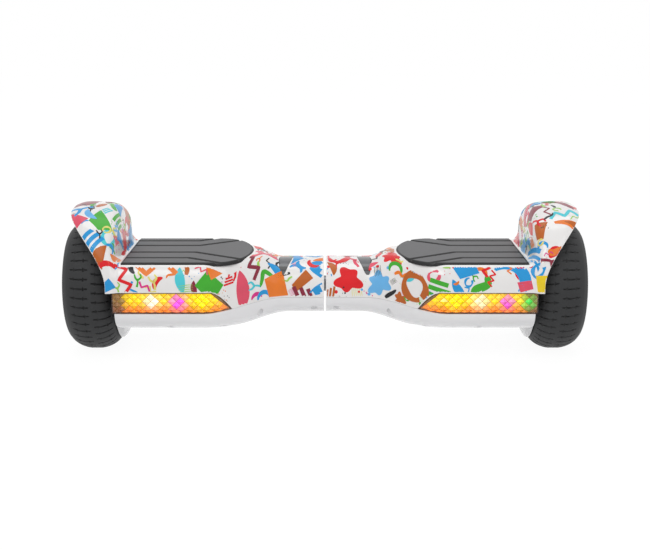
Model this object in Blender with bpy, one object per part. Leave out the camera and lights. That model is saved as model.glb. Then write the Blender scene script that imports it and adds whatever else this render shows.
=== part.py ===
"""Self balancing board with two hub-motor wheels, modelled piece by piece.

Frame: X runs along the board, -Y is the front with the long lights, +Z is up,
and the tyres stand on Z = 0 with the origin under the middle of the board.
Each half is drawn for the right side (+X) and mirrored for the left.
"""
import math

import bpy
import bmesh
import numpy as np

MM = 0.001

# Clearances and walls
FIT = 0.3 * MM                  # gap between pieces that touch
WALL = 2.6 * MM                 # moulded shell wall
EDGE_BREAK = 1 * MM             # chamfers on turned and moulded pieces
HALF_GAP = 2.6 * MM             # slit between the two halves

# Wheels
TYRE_RADIUS = 83.2 * MM
TYRE_WIDTH = 63.5 * MM
TYRE_GAP = 4.5 * MM             # between the body's end wall and the tyre
# Half of the tyre's section: share of its half width, share of its height over the rim
TREAD_SHAPE = ((0.94, 0.0), (1.0, 0.3), (0.97, 0.43), (0.90, 0.55), (0.76, 0.73), (0.52, 0.90), (0.2, 1.0))
RIM_RADIUS = 58 * MM
RIM_WALL = 6 * MM
RIM_FLANGE = 4.5 * MM           # the rim's wall next to the body
RIM_INSET = 2.5 * MM            # rim faces inside the tyre's faces
COVER_THICKNESS = 4.2 * MM
COVER_LEDGE = 3.5 * MM          # rim left round the cover's edge
HUB_WALL = 6 * MM               # metal round each bearing
HUB_LENGTH = 13 * MM
BEARING_SETBACK = 2 * MM
STATOR_GAP = 1.5 * MM
STATOR_RADIUS = 49 * MM
AXLE_RADIUS = 8 * MM
BEARING_RADIUS = 16 * MM
BEARING_WIDTH = 9 * MM

# Shell sections: the deck end and the neck end of each half
END_X = 257 * MM                # outer face of the wall next to the wheel
BODY_DEPTH = 180 * MM
DECK_HEIGHT = 126 * MM
FLOOR_CLEARANCE = 38 * MM
SEAM_HEIGHT = 66 * MM           # where top and bottom shells meet
SHOULDER_TOP = 92 * MM          # top of the upright front, start of the shoulder
SHOULDER_DEPTH = 18 * MM
SKIRT_DEPTH = 50 * MM           # how far the lower corner rolls under
NECK_DEPTH = 80 * MM
NECK_HALF_HEIGHT = 34.4 * MM
NECK_SEAM_DROP = 9 * MM         # seam below the shaft's axis at the neck
NECK_CROWN = 4 * MM             # half width of the flat along the neck's top and bottom
NECK_END = 52 * MM              # the neck starts to widen here
DECK_START = 150 * MM           # and has its full depth here
APRON_RADIUS = 62 * MM          # round guard beside the wheel, at the end wall
APRON_LIP_RADIUS = 69.5 * MM    # and at its lip
APRON_REACH = 3.8 * MM          # from the end wall's face to the lip

# Fender
FENDER_FOOT_INSET = 7 * MM      # the fender leaves the deck this far inside the end wall
FENDER_TIP_INSET = 8 * MM       # inside the tyre's outer face
FENDER_LOW_REACH = 10 * MM      # past the end wall, at axle height
FENDER_ROOM = 22.1 * MM         # from the tyre's top to the fender's top
FENDER_OVERHANG = 3.5 * MM      # wider than the body, front and back
FENDER_ROUNDNESS = 2.3          # 2 is an ellipse, more is squarer

# Foot pads
PAD_END_GAP = 8 * MM            # from the pad's outer end to the end wall's face
PAD_WAIST_X = 142 * MM
PAD_TIP_X = 92 * MM
PAD_MARGIN = 13 * MM            # from the pad's long edges to the body's front and back
PAD_THICKNESS = 5 * MM
PAD_PROUD = 1.2 * MM
PAD_TRAVEL = 1.5 * MM
POCKET_FLOOR = 2.5 * MM         # deck wall left under the pad's pocket
PLUNGER_RADIUS = 5 * MM
PLUNGER_X = (143 * MM, 196 * MM)

# Front light
LIGHT_OVERHANG = 3.3 * MM       # past the end wall
LIGHT_INNER_TOP_X = 140 * MM
LIGHT_INNER_LOW_X = 113 * MM
LENS_WALL = 2.5 * MM
FACET_PITCH = 10 * MM
FACET_DEPTH = 2.4 * MM
FACET_GAP = 0.9 * MM            # air between the lens and the facets' tips
BOARD_THICKNESS = 1.6 * MM

# Indicator on the neck
TURN_LENS_INNER_X = 41 * MM
TURN_LENS_OUTER_X = 57 * MM
TURN_LENS_SINK = 1.5 * MM
TURN_LENS_PROUD = 0.4 * MM

# Frame, shaft and what hangs on them
SHAFT_RADIUS = 10 * MM
SHAFT_BORE = 6 * MM
BOSS_RADIUS = 17 * MM
BOSS_END_X = 70 * MM
FLANGE_RADIUS = 20 * MM
FLANGE_X = 2.2 * MM
BUSHING_WALL = 3 * MM
BUSHING_LENGTH = 14 * MM
CLIP_WALL = 4 * MM
CLIP_THICKNESS = 1.6 * MM
SADDLE_ROOF = 2.8 * MM          # metal between the axle and the frame's plate
PLATE_THICKNESS = 4.5 * MM
PLATE_MARGIN = 22 * MM          # from the plate's long edges to the body's front and back
PLATE_INSET = 16 * MM           # plate edge inside the shell's front
RIB_WIDTH = 10 * MM
RIB_DEPTH = 12 * MM
SADDLE_LENGTH = 22 * MM
SADDLE_END_GAP = 7 * MM         # from the saddle to the end wall's face
SADDLE_HALF_DEPTH = 20 * MM
CLAMP_DEPTH = 17.2 * MM         # below the axle's middle
BATTERY_X = (106 * MM, 216 * MM)
BATTERY_GAP = 13.7 * MM         # from the strap's foot to the frame's ribs
BATTERY_HEIGHT = 41 * MM
STRAP_THICKNESS = 2 * MM
STRAP_X = (146 * MM, 176 * MM)
STRAP_FOOT = 10 * MM
HEAT_SINK_X = (112 * MM, 208 * MM)
HEAT_SINK_HALF_DEPTH = 30 * MM
HEAT_SINK_HEIGHT = 12 * MM
FIN_COUNT = 6
FIN_DEPTH = 7 * MM
MAIN_BOARD_MARGIN = (8 * MM, 5 * MM)    # past the heat sink, along and across
CAPACITOR_X = (124 * MM, 146 * MM, 168 * MM)
CAPACITOR_Y = -16 * MM
CAPACITOR_RADIUS = 8 * MM
CAPACITOR_HEIGHT = 24 * MM
CHIPS_X = (184 * MM, 206 * MM)
CHIPS_HALF_DEPTH = 25 * MM
CHIPS_HEIGHT = 6 * MM
SENSOR_X = (122 * MM, 212 * MM)
SENSOR_HALF_DEPTH = 24 * MM
SENSOR_LEVEL = 0.32             # how far up the room between plate and deck the board lies
POST_RADIUS = 5 * MM
SCREW_INNER_X = 126 * MM
SCREW_END_GAP = 14 * MM         # from the outer screws to the end wall's face
SCREW_RADIUS = 2 * MM
SCREW_HEAD_RADIUS = 3.8 * MM
SCREW_HEAD = 2.6 * MM
SCREW_RECESS = 12 * MM          # head's seat above the floor
SCREW_GRIP = 8 * MM             # thread length inside the rib

# Back of the right half
BUTTON_X = 150 * MM
BUTTON_RADIUS = 8 * MM
BUTTON_TRAVEL = 1.5 * MM
SOCKET_X = 190 * MM
SOCKET_RADIUS = 8 * MM
SOCKET_BORE = 5 * MM
SOCKET_DEPTH = 12 * MM
BEZEL_THICKNESS = 1.3 * MM
BEZEL_WIDTH = 2.5 * MM

TYRE_SEGMENTS = 36
SEGMENTS = 28
SHAFT_SEGMENTS = 20
SMALL_SEGMENTS = 10

# Worked out from the values above
AXLE_Z = TYRE_RADIUS
NECK_TOP = AXLE_Z + NECK_HALF_HEIGHT
NECK_BOTTOM = AXLE_Z - NECK_HALF_HEIGHT
NECK_SEAM = AXLE_Z - NECK_SEAM_DROP
TYRE_INNER_X = END_X + TYRE_GAP
TYRE_OUTER_X = TYRE_INNER_X + TYRE_WIDTH
FENDER_FOOT = END_X - FENDER_FOOT_INSET
FENDER_TIP = TYRE_OUTER_X - FENDER_TIP_INSET
FENDER_LOW_TIP = END_X + FENDER_LOW_REACH
FENDER_HEIGHT = 2 * TYRE_RADIUS + FENDER_ROOM
FENDER_DEPTH = BODY_DEPTH + 2 * FENDER_OVERHANG
PAD_OUTER_X = END_X - PAD_END_GAP
PAD_DEPTH = BODY_DEPTH - 2 * PAD_MARGIN
PAD_TOP = DECK_HEIGHT + PAD_PROUD
PAD_BOTTOM = PAD_TOP - PAD_THICKNESS
POCKET_Z = PAD_BOTTOM - PAD_TRAVEL - 2 * FIT
DECK_UNDERSIDE = POCKET_Z - POCKET_FLOOR
LIGHT_OUTER_X = END_X + LIGHT_OVERHANG
HALF_DEPTH = BODY_DEPTH / 2
PLATE_BOTTOM = AXLE_Z + AXLE_RADIUS + SADDLE_ROOF
PLATE_TOP = PLATE_BOTTOM + PLATE_THICKNESS
PLATE_HALF_DEPTH = HALF_DEPTH - PLATE_MARGIN
RIB_BOTTOM = PLATE_BOTTOM - RIB_DEPTH
SADDLE_X = (END_X - SADDLE_END_GAP - SADDLE_LENGTH, END_X - SADDLE_END_GAP)
CLAMP_BOTTOM = AXLE_Z - CLAMP_DEPTH
BATTERY_HALF_DEPTH = PLATE_HALF_DEPTH - RIB_WIDTH - STRAP_FOOT - STRAP_THICKNESS - FIT - BATTERY_GAP
SENSOR_POST_HEIGHT = SENSOR_LEVEL * (DECK_UNDERSIDE - PLATE_TOP - BOARD_THICKNESS)
SCREW_X = (SCREW_INNER_X, END_X - SCREW_END_GAP)
BACK_FITTING_Z = (SEAM_HEIGHT + SHOULDER_TOP) / 2


# ---------------------------------------------------------------- scene
def clear_scene():
    for obj in list(bpy.data.objects):
        bpy.data.objects.remove(obj, do_unlink=True)


def material(name, color, roughness, metallic=0.0, alpha=1.0):
    mat = bpy.data.materials.new(name)
    mat.use_nodes = True
    shader = mat.node_tree.nodes["Principled BSDF"]
    shader.inputs["Base Color"].default_value = (*color, 1.0)
    shader.inputs["Roughness"].default_value = roughness
    shader.inputs["Metallic"].default_value = metallic
    shader.inputs["Alpha"].default_value = alpha
    return mat


# ---------------------------------------------------------------- mesh helpers
def add_object(name, points, faces, mat, origin=(0.0, 0.0, 0.0), smooth=False):
    """One object from world points; its own origin is put at the given place."""
    origin = np.array(origin, dtype=float)
    local = np.asarray(points, dtype=float) - origin
    mesh = bpy.data.meshes.new(name)
    mesh.from_pydata(local.tolist(), [], faces)
    mesh.materials.append(mat)
    work = bmesh.new()
    work.from_mesh(mesh)
    bmesh.ops.recalc_face_normals(work, faces=work.faces)
    work.to_mesh(mesh)
    work.free()
    if smooth:
        mesh.shade_smooth()
        mesh.set_sharp_from_angle(angle=math.radians(35))
    obj = bpy.data.objects.new(name, mesh)
    obj.location = origin
    bpy.context.scene.collection.objects.link(obj)
    return obj


def sheet(name, outer, inner, mat, **place):
    """A wall between two grids of the same size, closed along its four edges."""
    rows, cols = outer.shape[:2]
    points = np.concatenate([outer.reshape(-1, 3), inner.reshape(-1, 3)])
    lift = rows * cols
    faces = []
    for i in range(rows - 1):
        for j in range(cols - 1):
            quad = [i * cols + j, (i + 1) * cols + j, (i + 1) * cols + j + 1, i * cols + j + 1]
            faces.append(quad)
            faces.append([lift + v for v in reversed(quad)])
    border = [j for j in range(cols)]
    border += [i * cols + cols - 1 for i in range(1, rows)]
    border += [(rows - 1) * cols + j for j in range(cols - 2, -1, -1)]
    border += [i * cols for i in range(rows - 2, 0, -1)]
    for a, b in zip(border, border[1:] + border[:1]):
        faces.append([a, b, lift + b, lift + a])
    return add_object(name, points, faces, mat, smooth=True, **place)


def swept(name, sections, mat, **place):
    """A closed outline carried through stations, with flat ends."""
    rows, cols = sections.shape[:2]
    faces = [list(range(cols)), [(rows - 1) * cols + j for j in reversed(range(cols))]]
    for i in range(rows - 1):
        for j in range(cols):
            k = (j + 1) % cols
            faces.append([i * cols + j, i * cols + k, (i + 1) * cols + k, (i + 1) * cols + j])
    return add_object(name, sections.reshape(-1, 3), faces, mat, **place)


def turned(name, profile, mat, axis="X", center=(0.0, 0.0, 0.0), segments=SEGMENTS, side=1, **place):
    """A profile of (distance along the axis, radius) turned round it.

    A profile that starts and ends at radius 0 is a solid; any other is a closed ring.
    """
    solid = profile[0][1] == 0 and profile[-1][1] == 0
    ring = profile[1:-1] if solid else profile
    angles = (np.arange(segments) + 0.5) * 2 * math.pi / segments
    along = np.array([p[0] for p in ring])[:, None] * np.ones(segments)
    radius = np.array([p[1] for p in ring])[:, None]
    u = radius * np.cos(angles)
    v = radius * np.sin(angles)
    order = {"X": (along, u, v), "Y": (v, along, u), "Z": (u, v, along)}[axis]
    points = np.stack(order, axis=-1).reshape(-1, 3)
    faces = []
    count = len(ring)
    for i in range(count - 1 if solid else count):
        for j in range(segments):
            k = (j + 1) % segments
            n = (i + 1) % count
            faces.append([i * segments + j, i * segments + k, n * segments + k, n * segments + j])
    if solid:
        faces.append(list(range(segments)))
        faces.append([(count - 1) * segments + j for j in reversed(range(segments))])
    points = points + np.array(center)
    points[:, 0] *= side
    return add_object(name, points, faces, mat, smooth=True, **place)


def block(name, low, high, mat, side=1, **place):
    x0, y0, z0 = low
    x1, y1, z1 = high
    section = [(y0, z0), (y1, z0), (y1, z1), (y0, z1)]
    points = np.array([[(side * x, y, z) for y, z in section] for x in (x0, x1)])
    return swept(name, points, mat, **place)


def tool(obj):
    """Marks an object as a cutter or an operand, which isn't part of the model."""
    obj.hide_render = True
    obj.display_type = "WIRE"
    return obj


def boolean(target, operand, operation):
    tool(operand)
    change = target.modifiers.new(operand.name, "BOOLEAN")
    change.operation = operation
    change.solver = "EXACT"
    change.object = operand


def join(target, operand):
    boolean(target, operand, "UNION")


def cut(target, operand):
    boolean(target, operand, "DIFFERENCE")


def label(side):
    return "right" if side > 0 else "left"


# ---------------------------------------------------------------- section law
def ease(x, start, end):
    """0 before start, 1 after end, with level ends between."""
    s = np.clip((np.asarray(x, dtype=float) - start) / (end - start), 0, 1)
    return s * s * (3 - 2 * s)


def mix(a, b, s):
    return a + (b - a) * s


def half_depth(x):
    """Half the shell's depth, front to back, at a distance x from the middle."""
    return mix(NECK_DEPTH / 2, HALF_DEPTH, ease(x, NECK_END, DECK_START))


def seam_height(x):
    return mix(NECK_SEAM, SEAM_HEIGHT, ease(x, NECK_END, DECK_START))


def upper_section(x):
    """Front seam, upright front, shoulder, deck, and the same down the back."""
    deep = half_depth(x)
    top = mix(NECK_TOP, DECK_HEIGHT, ease(x, NECK_END + 3 * MM, PAD_TIP_X - 7 * MM))
    flat = mix(NECK_CROWN, HALF_DEPTH - SHOULDER_DEPTH, ease(x, NECK_END + 6 * MM, DECK_START - 8 * MM))
    flat = min(flat, deep - SHOULDER_DEPTH)
    low = mix(AXLE_Z, SHOULDER_TOP, ease(x, NECK_END, DECK_START))
    seam = seam_height(x)
    points = [(deep, seam), (deep, (seam + low) / 2)]
    for angle in np.linspace(0, math.pi / 2, 7):
        points.append((flat + (deep - flat) * math.cos(angle), low + (top - low) * math.sin(angle)))
    points += [(flat * share, top) for share in (0.78, 0.56, 0.36, 0.18)]
    front = [(-y, z) for y, z in points]
    return np.array(front + [(0.0, top)] + [(-y, z) for y, z in reversed(front)])


def lower_section(x):
    """Front seam, rolled lower corner, floor, and the same up the back."""
    deep = half_depth(x)
    floor = mix(NECK_BOTTOM, FLOOR_CLEARANCE, ease(x, NECK_END - 8 * MM, PAD_TIP_X + 20 * MM))
    flat = mix(NECK_CROWN, HALF_DEPTH - SKIRT_DEPTH, ease(x, NECK_END, DECK_START))
    seam = seam_height(x) - FIT
    points = []
    for angle in np.linspace(0, math.pi / 2, 7):
        points.append((flat + (deep - flat) * math.cos(angle), seam - (seam - floor) * math.sin(angle)))
    front = [(-y, z) for y, z in points]
    return np.array(front + [(0.0, floor)] + [(-y, z) for y, z in reversed(front)])


def lower_height(x, y):
    """Height of the lower shell's outer face at a place on its rolled corner."""
    flat = mix(NECK_CROWN, HALF_DEPTH - SKIRT_DEPTH, ease(x, NECK_END, DECK_START))
    share = max(abs(y) - flat, 0) / (half_depth(x) - flat)
    seam = seam_height(x) - FIT
    return seam - (seam - FLOOR_CLEARANCE) * math.sqrt(1 - share * share)


def normals(grid):
    """Unit normals of a grid of points, pointing away from the axle's line."""
    along = np.gradient(grid, axis=0)
    across = np.gradient(grid, axis=1)
    normal = np.cross(along, across)
    normal /= np.linalg.norm(normal, axis=-1, keepdims=True)
    outward = grid - np.array([0.0, 0.0, AXLE_Z])
    outward[..., 0] = 0.0
    flip = np.sign(np.sum(normal * outward, axis=-1, keepdims=True))
    return normal * np.where(flip == 0, 1, flip)


BODY_STATIONS = np.array([HALF_GAP / 2, 20 * MM, 40 * MM, NECK_END, 60 * MM, 68 * MM, 76 * MM, 84 * MM,
                          PAD_TIP_X, 101 * MM, 111 * MM, 121 * MM, 135 * MM, DECK_START])

# Way of the fender at its highest point: share of its reach, share of its rise
FENDER_PATH = ((0.0, 0.0), (0.035, 0.02), (0.057, 0.12), (0.071, 0.30), (0.08, 0.52), (0.107, 0.73),
               (0.167, 0.88), (0.267, 0.955), (0.427, 0.985), (0.68, 1.0), (0.86, 0.99), (1.0, 0.94))


def fender_edge(angle):
    """How far out the fender's edge lies at an angle above the axle's level."""
    return mix(FENDER_LOW_TIP, FENDER_TIP, ease(np.degrees(angle), 10, 75))


def arch_radius(angle):
    """Distance from the axle to the fender's top, a squarish ellipse."""
    a = np.abs(np.cos(angle)) / (FENDER_DEPTH / 2)
    b = np.abs(np.sin(angle)) / (FENDER_HEIGHT - AXLE_Z)
    return (a ** FENDER_ROUNDNESS + b ** FENDER_ROUNDNESS) ** (-1 / FENDER_ROUNDNESS)


def top_shell_grid():
    """Outer surface from the neck, over the deck and up to the fender's edge."""
    rows = []
    for x in BODY_STATIONS:
        section = upper_section(x)
        rows.append(np.column_stack([np.full(len(section), x), section]))
    base = upper_section(FENDER_FOOT)
    y = base[:, 0]
    z = base[:, 1] - AXLE_Z
    angle = np.arctan2(z, np.abs(y))
    radius = np.hypot(y, z)
    low = 1 - ease(np.degrees(angle), 15, 60)
    for number, (reach, rise) in enumerate(FENDER_PATH):
        even = number / (len(FENDER_PATH) - 1)
        x = mix(FENDER_FOOT, fender_edge(angle), mix(reach, even, low))
        swell = mix(radius, np.maximum(arch_radius(angle), radius), rise)
        swell = np.where(angle < 0, radius, swell)
        rows.append(np.column_stack([x, y / radius * swell, AXLE_Z + z / radius * swell]))
    return np.array(rows)


def inset(grid, depth):
    """The same grid moved inwards, with its neck end kept in its plane."""
    inner = grid - normals(grid) * depth
    inner[0, :, 0] = grid[0, :, 0]
    return inner


def mirrored(grid, side):
    return grid * np.array([side, 1.0, 1.0])


# ---------------------------------------------------------------- shells
def pad_outline(grow):
    """Half outline of the foot pad: straight sides, then drawn in to a round tip."""
    deep = PAD_DEPTH / 2 + grow
    outer = PAD_OUTER_X + grow
    points = [(outer, -deep), (PAD_WAIST_X, -deep)]
    tip = PAD_TIP_X - grow
    for angle in np.linspace(80, 0, 8):
        s = math.radians(angle)
        points.append((PAD_WAIST_X - (PAD_WAIST_X - tip) * math.cos(s) ** 0.8, -deep * math.sin(s) ** 1.1))
    back = [(x, -y) for x, y in reversed(points[:-1])]
    return points + back


def prism_z(name, outline, z0, z1, mat, side, **place):
    sections = np.array([[(side * x, y, z) for x, y in outline] for z in (z0, z1)])
    return swept(name, sections, mat, **place)


def light_outline(grow):
    """Outline of the front light in X and Z, with a rounded slant at its inner end."""
    below = SEAM_HEIGHT - 2 * WALL
    high = SHOULDER_TOP
    points = [(LIGHT_OUTER_X + grow, below), (LIGHT_OUTER_X + grow, high)]
    for s in np.linspace(0, 1, 5):
        x = mix(LIGHT_INNER_TOP_X, LIGHT_INNER_LOW_X, s ** 0.7)
        points.append((x - grow, mix(high, seam_height(x), s)))
    points.append((LIGHT_INNER_LOW_X - grow, below))
    return points


def prism_y(name, outline, y0, y1, mat, side):
    sections = np.array([[(side * x, y, z) for x, z in outline] for y in (y0, y1)])
    return swept(name, sections, mat)


def light_grid(inset_depth, cols=8, rows=4):
    """A patch of the upright front inside the light's outline, set in by a depth."""
    grid = []
    for t in np.linspace(0, 1, rows + 1):
        start = mix(LIGHT_INNER_TOP_X, LIGHT_INNER_LOW_X, (1 - t) ** 0.7) + 2 * FIT
        x = mix(start, LIGHT_OUTER_X - FIT, np.linspace(0, 1, cols + 1))
        z = mix(seam_height(x) + FIT, SHOULDER_TOP - FIT, t)
        grid.append(np.column_stack([x, inset_depth - half_depth(x), z]))
    return np.array(grid)


def turn_lens_grid(offset, grow=0.0):
    """A shield on the neck's upper front: broad at the top, pointed below."""
    grid = []
    for t in np.linspace(0, 1, 9):
        angle = mix(math.radians(96) + grow * 20, math.radians(33) - grow * 20, t)
        middle = mix((TURN_LENS_INNER_X + TURN_LENS_OUTER_X) / 2, TURN_LENS_OUTER_X - 3 * MM, t)
        wide = (TURN_LENS_OUTER_X - TURN_LENS_INNER_X) / 2
        width = wide * (1 - 0.92 * max(0.0, (t - 0.35) / 0.65) ** 1.4) + grow
        row = []
        for x in np.linspace(middle - width, middle + width, 5):
            deep = half_depth(x) + offset
            high = mix(NECK_HALF_HEIGHT, DECK_HEIGHT - AXLE_Z, ease(x, NECK_END + 3 * MM, PAD_TIP_X - 7 * MM))
            row.append((x, -deep * math.cos(angle), AXLE_Z + (high + offset) * math.sin(angle)))
        grid.append(row)
    return np.array(grid)


def end_wall(name, outline, mat, side):
    """The upright wall beside the wheel, from an outline in Y and Z."""
    sections = np.array([[(side * x, y, z) for y, z in outline] for x in (END_X - WALL, END_X)])
    return swept(name, sections, mat)


def top_shell(side, mat):
    who = label(side)
    outer = top_shell_grid()
    inner = inset(outer, WALL)
    on_deck = (outer[..., 0] > PAD_TIP_X - 12 * MM) & (outer[..., 0] <= FENDER_FOOT)
    on_deck &= outer[..., 2] > DECK_HEIGHT - 1 * MM
    inner[..., 2] = np.where(on_deck, DECK_UNDERSIDE, inner[..., 2])
    shell = sheet(f"top_shell_{who}", mirrored(outer, side), mirrored(inner, side), mat)

    section = upper_section(FENDER_FOOT)
    centre = np.array([0.0, AXLE_Z])
    inward = 1 - 0.5 * WALL / HALF_DEPTH
    outline = centre + (section - centre) * inward
    on_top = section[:, 1] > DECK_HEIGHT - FIT
    outline[on_top, 1] = DECK_HEIGHT + WALL
    outline[:, 1] = np.maximum(outline[:, 1], SEAM_HEIGHT)
    join(shell, end_wall(f"top_end_wall_{who}", outline, mat, side))

    reach = FENDER_DEPTH
    cut(shell, block(f"fender_trim_{who}", (END_X + FIT, -reach, 0),
                     (FENDER_TIP + WALL, reach, SHOULDER_TOP), mat, side))
    cut(shell, prism_y(f"light_window_{who}", light_outline(FIT), -reach, -HALF_DEPTH + 28 * MM, mat, side))
    cut(shell, prism_z(f"pad_pocket_{who}", pad_outline(2 * FIT), POCKET_Z, FENDER_HEIGHT, mat, side))
    for x in PLUNGER_X:
        hole = [(DECK_UNDERSIDE - WALL, 0), (DECK_UNDERSIDE - WALL, PLUNGER_RADIUS + 2 * FIT),
                (PAD_TOP, PLUNGER_RADIUS + 2 * FIT), (PAD_TOP, 0)]
        cut(shell, turned(f"plunger_hole_{who}_{round(x / MM)}", hole, mat, "Z", (x, 0, 0),
                          SMALL_SEGMENTS, side))
    slot_radius = AXLE_RADIUS + 4 * MM
    cut(shell, block(f"axle_slot_{who}", (END_X - 2 * WALL, -slot_radius, 0),
                     (END_X + WALL, slot_radius, AXLE_Z), mat, side))
    hole = [(END_X - 2 * WALL, 0), (END_X - 2 * WALL, slot_radius), (END_X + WALL, slot_radius),
            (END_X + WALL, 0)]
    cut(shell, turned(f"axle_hole_{who}", hole, mat, "X", (0, 0, AXLE_Z), SMALL_SEGMENTS, side))
    pocket = sheet(f"turn_pocket_{who}", mirrored(turn_lens_grid(4 * MM, FIT), side),
                   mirrored(turn_lens_grid(-TURN_LENS_SINK - FIT, FIT), side), mat)
    cut(shell, pocket)
    if side > 0:
        cut(shell, back_hole("button_hole", BUTTON_X, BUTTON_RADIUS + 1.5 * MM + FIT, mat))
        cut(shell, back_hole("socket_hole", SOCKET_X, SOCKET_RADIUS + FIT, mat))
    return shell


def back_hole(name, x, radius, mat):
    profile = [(HALF_DEPTH - 3 * WALL, 0), (HALF_DEPTH - 3 * WALL, radius), (HALF_DEPTH + WALL, radius),
               (HALF_DEPTH + WALL, 0)]
    return turned(name, profile, mat, "Y", (x, 0, BACK_FITTING_Z), SHAFT_SEGMENTS)


def rib_middle(x):
    """Distance of a frame rib's centre line from the board's centre plane."""
    return plate_half_depth(x) - RIB_WIDTH / 2


def screw_places():
    return [(x, sign * float(rib_middle(x))) for x in SCREW_X for sign in (-1, 1)]


def bottom_shell(side, mat):
    who = label(side)
    rows = []
    for x in list(BODY_STATIONS) + [200 * MM, END_X]:
        section = lower_section(x)
        rows.append(np.column_stack([np.full(len(section), x), section]))
    outer = np.array(rows)
    inner = inset(outer, WALL)
    inner[:, [0, -1], 2] = outer[:, [0, -1], 2]
    inner[-1, :, 0] = END_X
    shell = sheet(f"bottom_shell_{who}", mirrored(outer, side), mirrored(inner, side), mat)

    section = lower_section(END_X)
    centre = np.array([0.0, SEAM_HEIGHT - FIT])
    outline = centre + (section - centre) * (1 - 0.5 * WALL / HALF_DEPTH)
    outline[:, 1] = np.maximum(outline[:, 1], FLOOR_CLEARANCE + 0.5 * WALL)
    join(shell, end_wall(f"bottom_end_wall_{who}", outline, mat, side))
    sections = []
    for x, radius in ((END_X - WALL, APRON_RADIUS), (END_X + APRON_REACH, APRON_LIP_RADIUS)):
        drop = math.acos((AXLE_Z - SEAM_HEIGHT + WALL) / radius)
        sections.append([(side * x, radius * math.sin(a), AXLE_Z - radius * math.cos(a))
                         for a in np.linspace(-drop, drop, 19)])
    join(shell, swept(f"apron_{who}", np.array(sections), mat))

    for x, y in screw_places():
        tag = f"{who}_{round(x / MM)}_{'front' if y < 0 else 'back'}"
        top = RIB_BOTTOM - FIT
        ring = [(x + POST_RADIUS * math.cos(a), y + POST_RADIUS * math.sin(a))
                for a in np.linspace(0, 2 * math.pi, SMALL_SEGMENTS, endpoint=False)]
        post = [[(side * u, v, lower_height(u, v) + WALL / 2) for u, v in ring], [(side * u, v, top) for u, v in ring]]
        join(shell, swept(f"post_{tag}", np.array(post), mat))
        seat = FLOOR_CLEARANCE + SCREW_RECESS
        bore = [(0, 0), (0, SCREW_HEAD_RADIUS + FIT), (seat, SCREW_HEAD_RADIUS + FIT),
                (seat, SCREW_RADIUS + FIT), (PLATE_BOTTOM, SCREW_RADIUS + FIT), (PLATE_BOTTOM, 0)]
        cut(shell, turned(f"screw_bore_{tag}", bore, mat, "Z", (x, y, 0), SMALL_SEGMENTS, side))
    return shell


def screws(side, mat):
    seat = FLOOR_CLEARANCE + SCREW_RECESS - FIT
    tip = RIB_BOTTOM + SCREW_GRIP
    profile = [(seat - SCREW_HEAD, 0), (seat - SCREW_HEAD, SCREW_HEAD_RADIUS - 0.4 * MM),
               (seat - SCREW_HEAD + 0.5 * MM, SCREW_HEAD_RADIUS), (seat, SCREW_HEAD_RADIUS),
               (seat, SCREW_RADIUS), (tip - 1 * MM, SCREW_RADIUS), (tip, SCREW_RADIUS / 2), (tip, 0)]
    for number, (x, y) in enumerate(screw_places(), 1):
        turned(f"shell_screw_{label(side)}_{number}", profile, mat, "Z", (x, y, 0), 8, side)


# ---------------------------------------------------------------- foot pads
def foot_pad(side, rubber, plastic):
    who = label(side)
    origin = (side * (PAD_OUTER_X + PAD_TIP_X) / 2, 0, PAD_BOTTOM)
    edge = 1 * MM
    levels = ((PAD_BOTTOM, 0.0), (PAD_TOP - edge, 0.0), (PAD_TOP, -edge))
    sections = np.array([[(side * x, y, z) for x, y in pad_outline(grow)] for z, grow in levels])
    swept(f"foot_pad_{who}", sections, rubber, origin=origin)
    low = PLATE_TOP + SENSOR_POST_HEIGHT + BOARD_THICKNESS + PAD_TRAVEL + 4 * FIT
    for number, x in enumerate(PLUNGER_X, 1):
        profile = [(low, 0), (low, PLUNGER_RADIUS - 1 * MM), (low + 1 * MM, PLUNGER_RADIUS),
                   (PAD_BOTTOM - FIT, PLUNGER_RADIUS), (PAD_BOTTOM - FIT, 0)]
        turned(f"pad_plunger_{who}_{number}", profile, plastic, "Z", (x, 0, 0), SMALL_SEGMENTS, side,
               origin=(side * x, 0, PAD_BOTTOM))


# ---------------------------------------------------------------- lights
def front_light(side, clear, chrome, board):
    who = label(side)
    sheet(f"light_lens_{who}", mirrored(light_grid(0.0), side), mirrored(light_grid(LENS_WALL), side), clear)
    cols = round((LIGHT_OUTER_X - LIGHT_INNER_LOW_X) / FACET_PITCH) * 2
    rows = 4
    front = light_grid(LENS_WALL + FACET_GAP, cols, rows)
    i, j = np.indices(front.shape[:2])
    front[..., 1] += np.where((i + j) % 2 == 1, FACET_DEPTH, 0.0)
    back = light_grid(LENS_WALL + FACET_GAP + FACET_DEPTH + 2 * MM, cols, rows)
    sheet(f"light_reflector_{who}", mirrored(front, side), mirrored(back, side), chrome)
    depth = LENS_WALL + 2 * FACET_GAP + FACET_DEPTH + 2 * MM
    sheet(f"light_board_{who}", mirrored(light_grid(depth), side),
          mirrored(light_grid(depth + BOARD_THICKNESS), side), board)


def turn_lens(side, smoked):
    sheet(f"turn_lens_{label(side)}", mirrored(turn_lens_grid(TURN_LENS_PROUD), side),
          mirrored(turn_lens_grid(-TURN_LENS_SINK), side), smoked)


# ---------------------------------------------------------------- frame
def plate_half_depth(x):
    return np.minimum(PLATE_HALF_DEPTH, half_depth(x) - PLATE_INSET)


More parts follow.
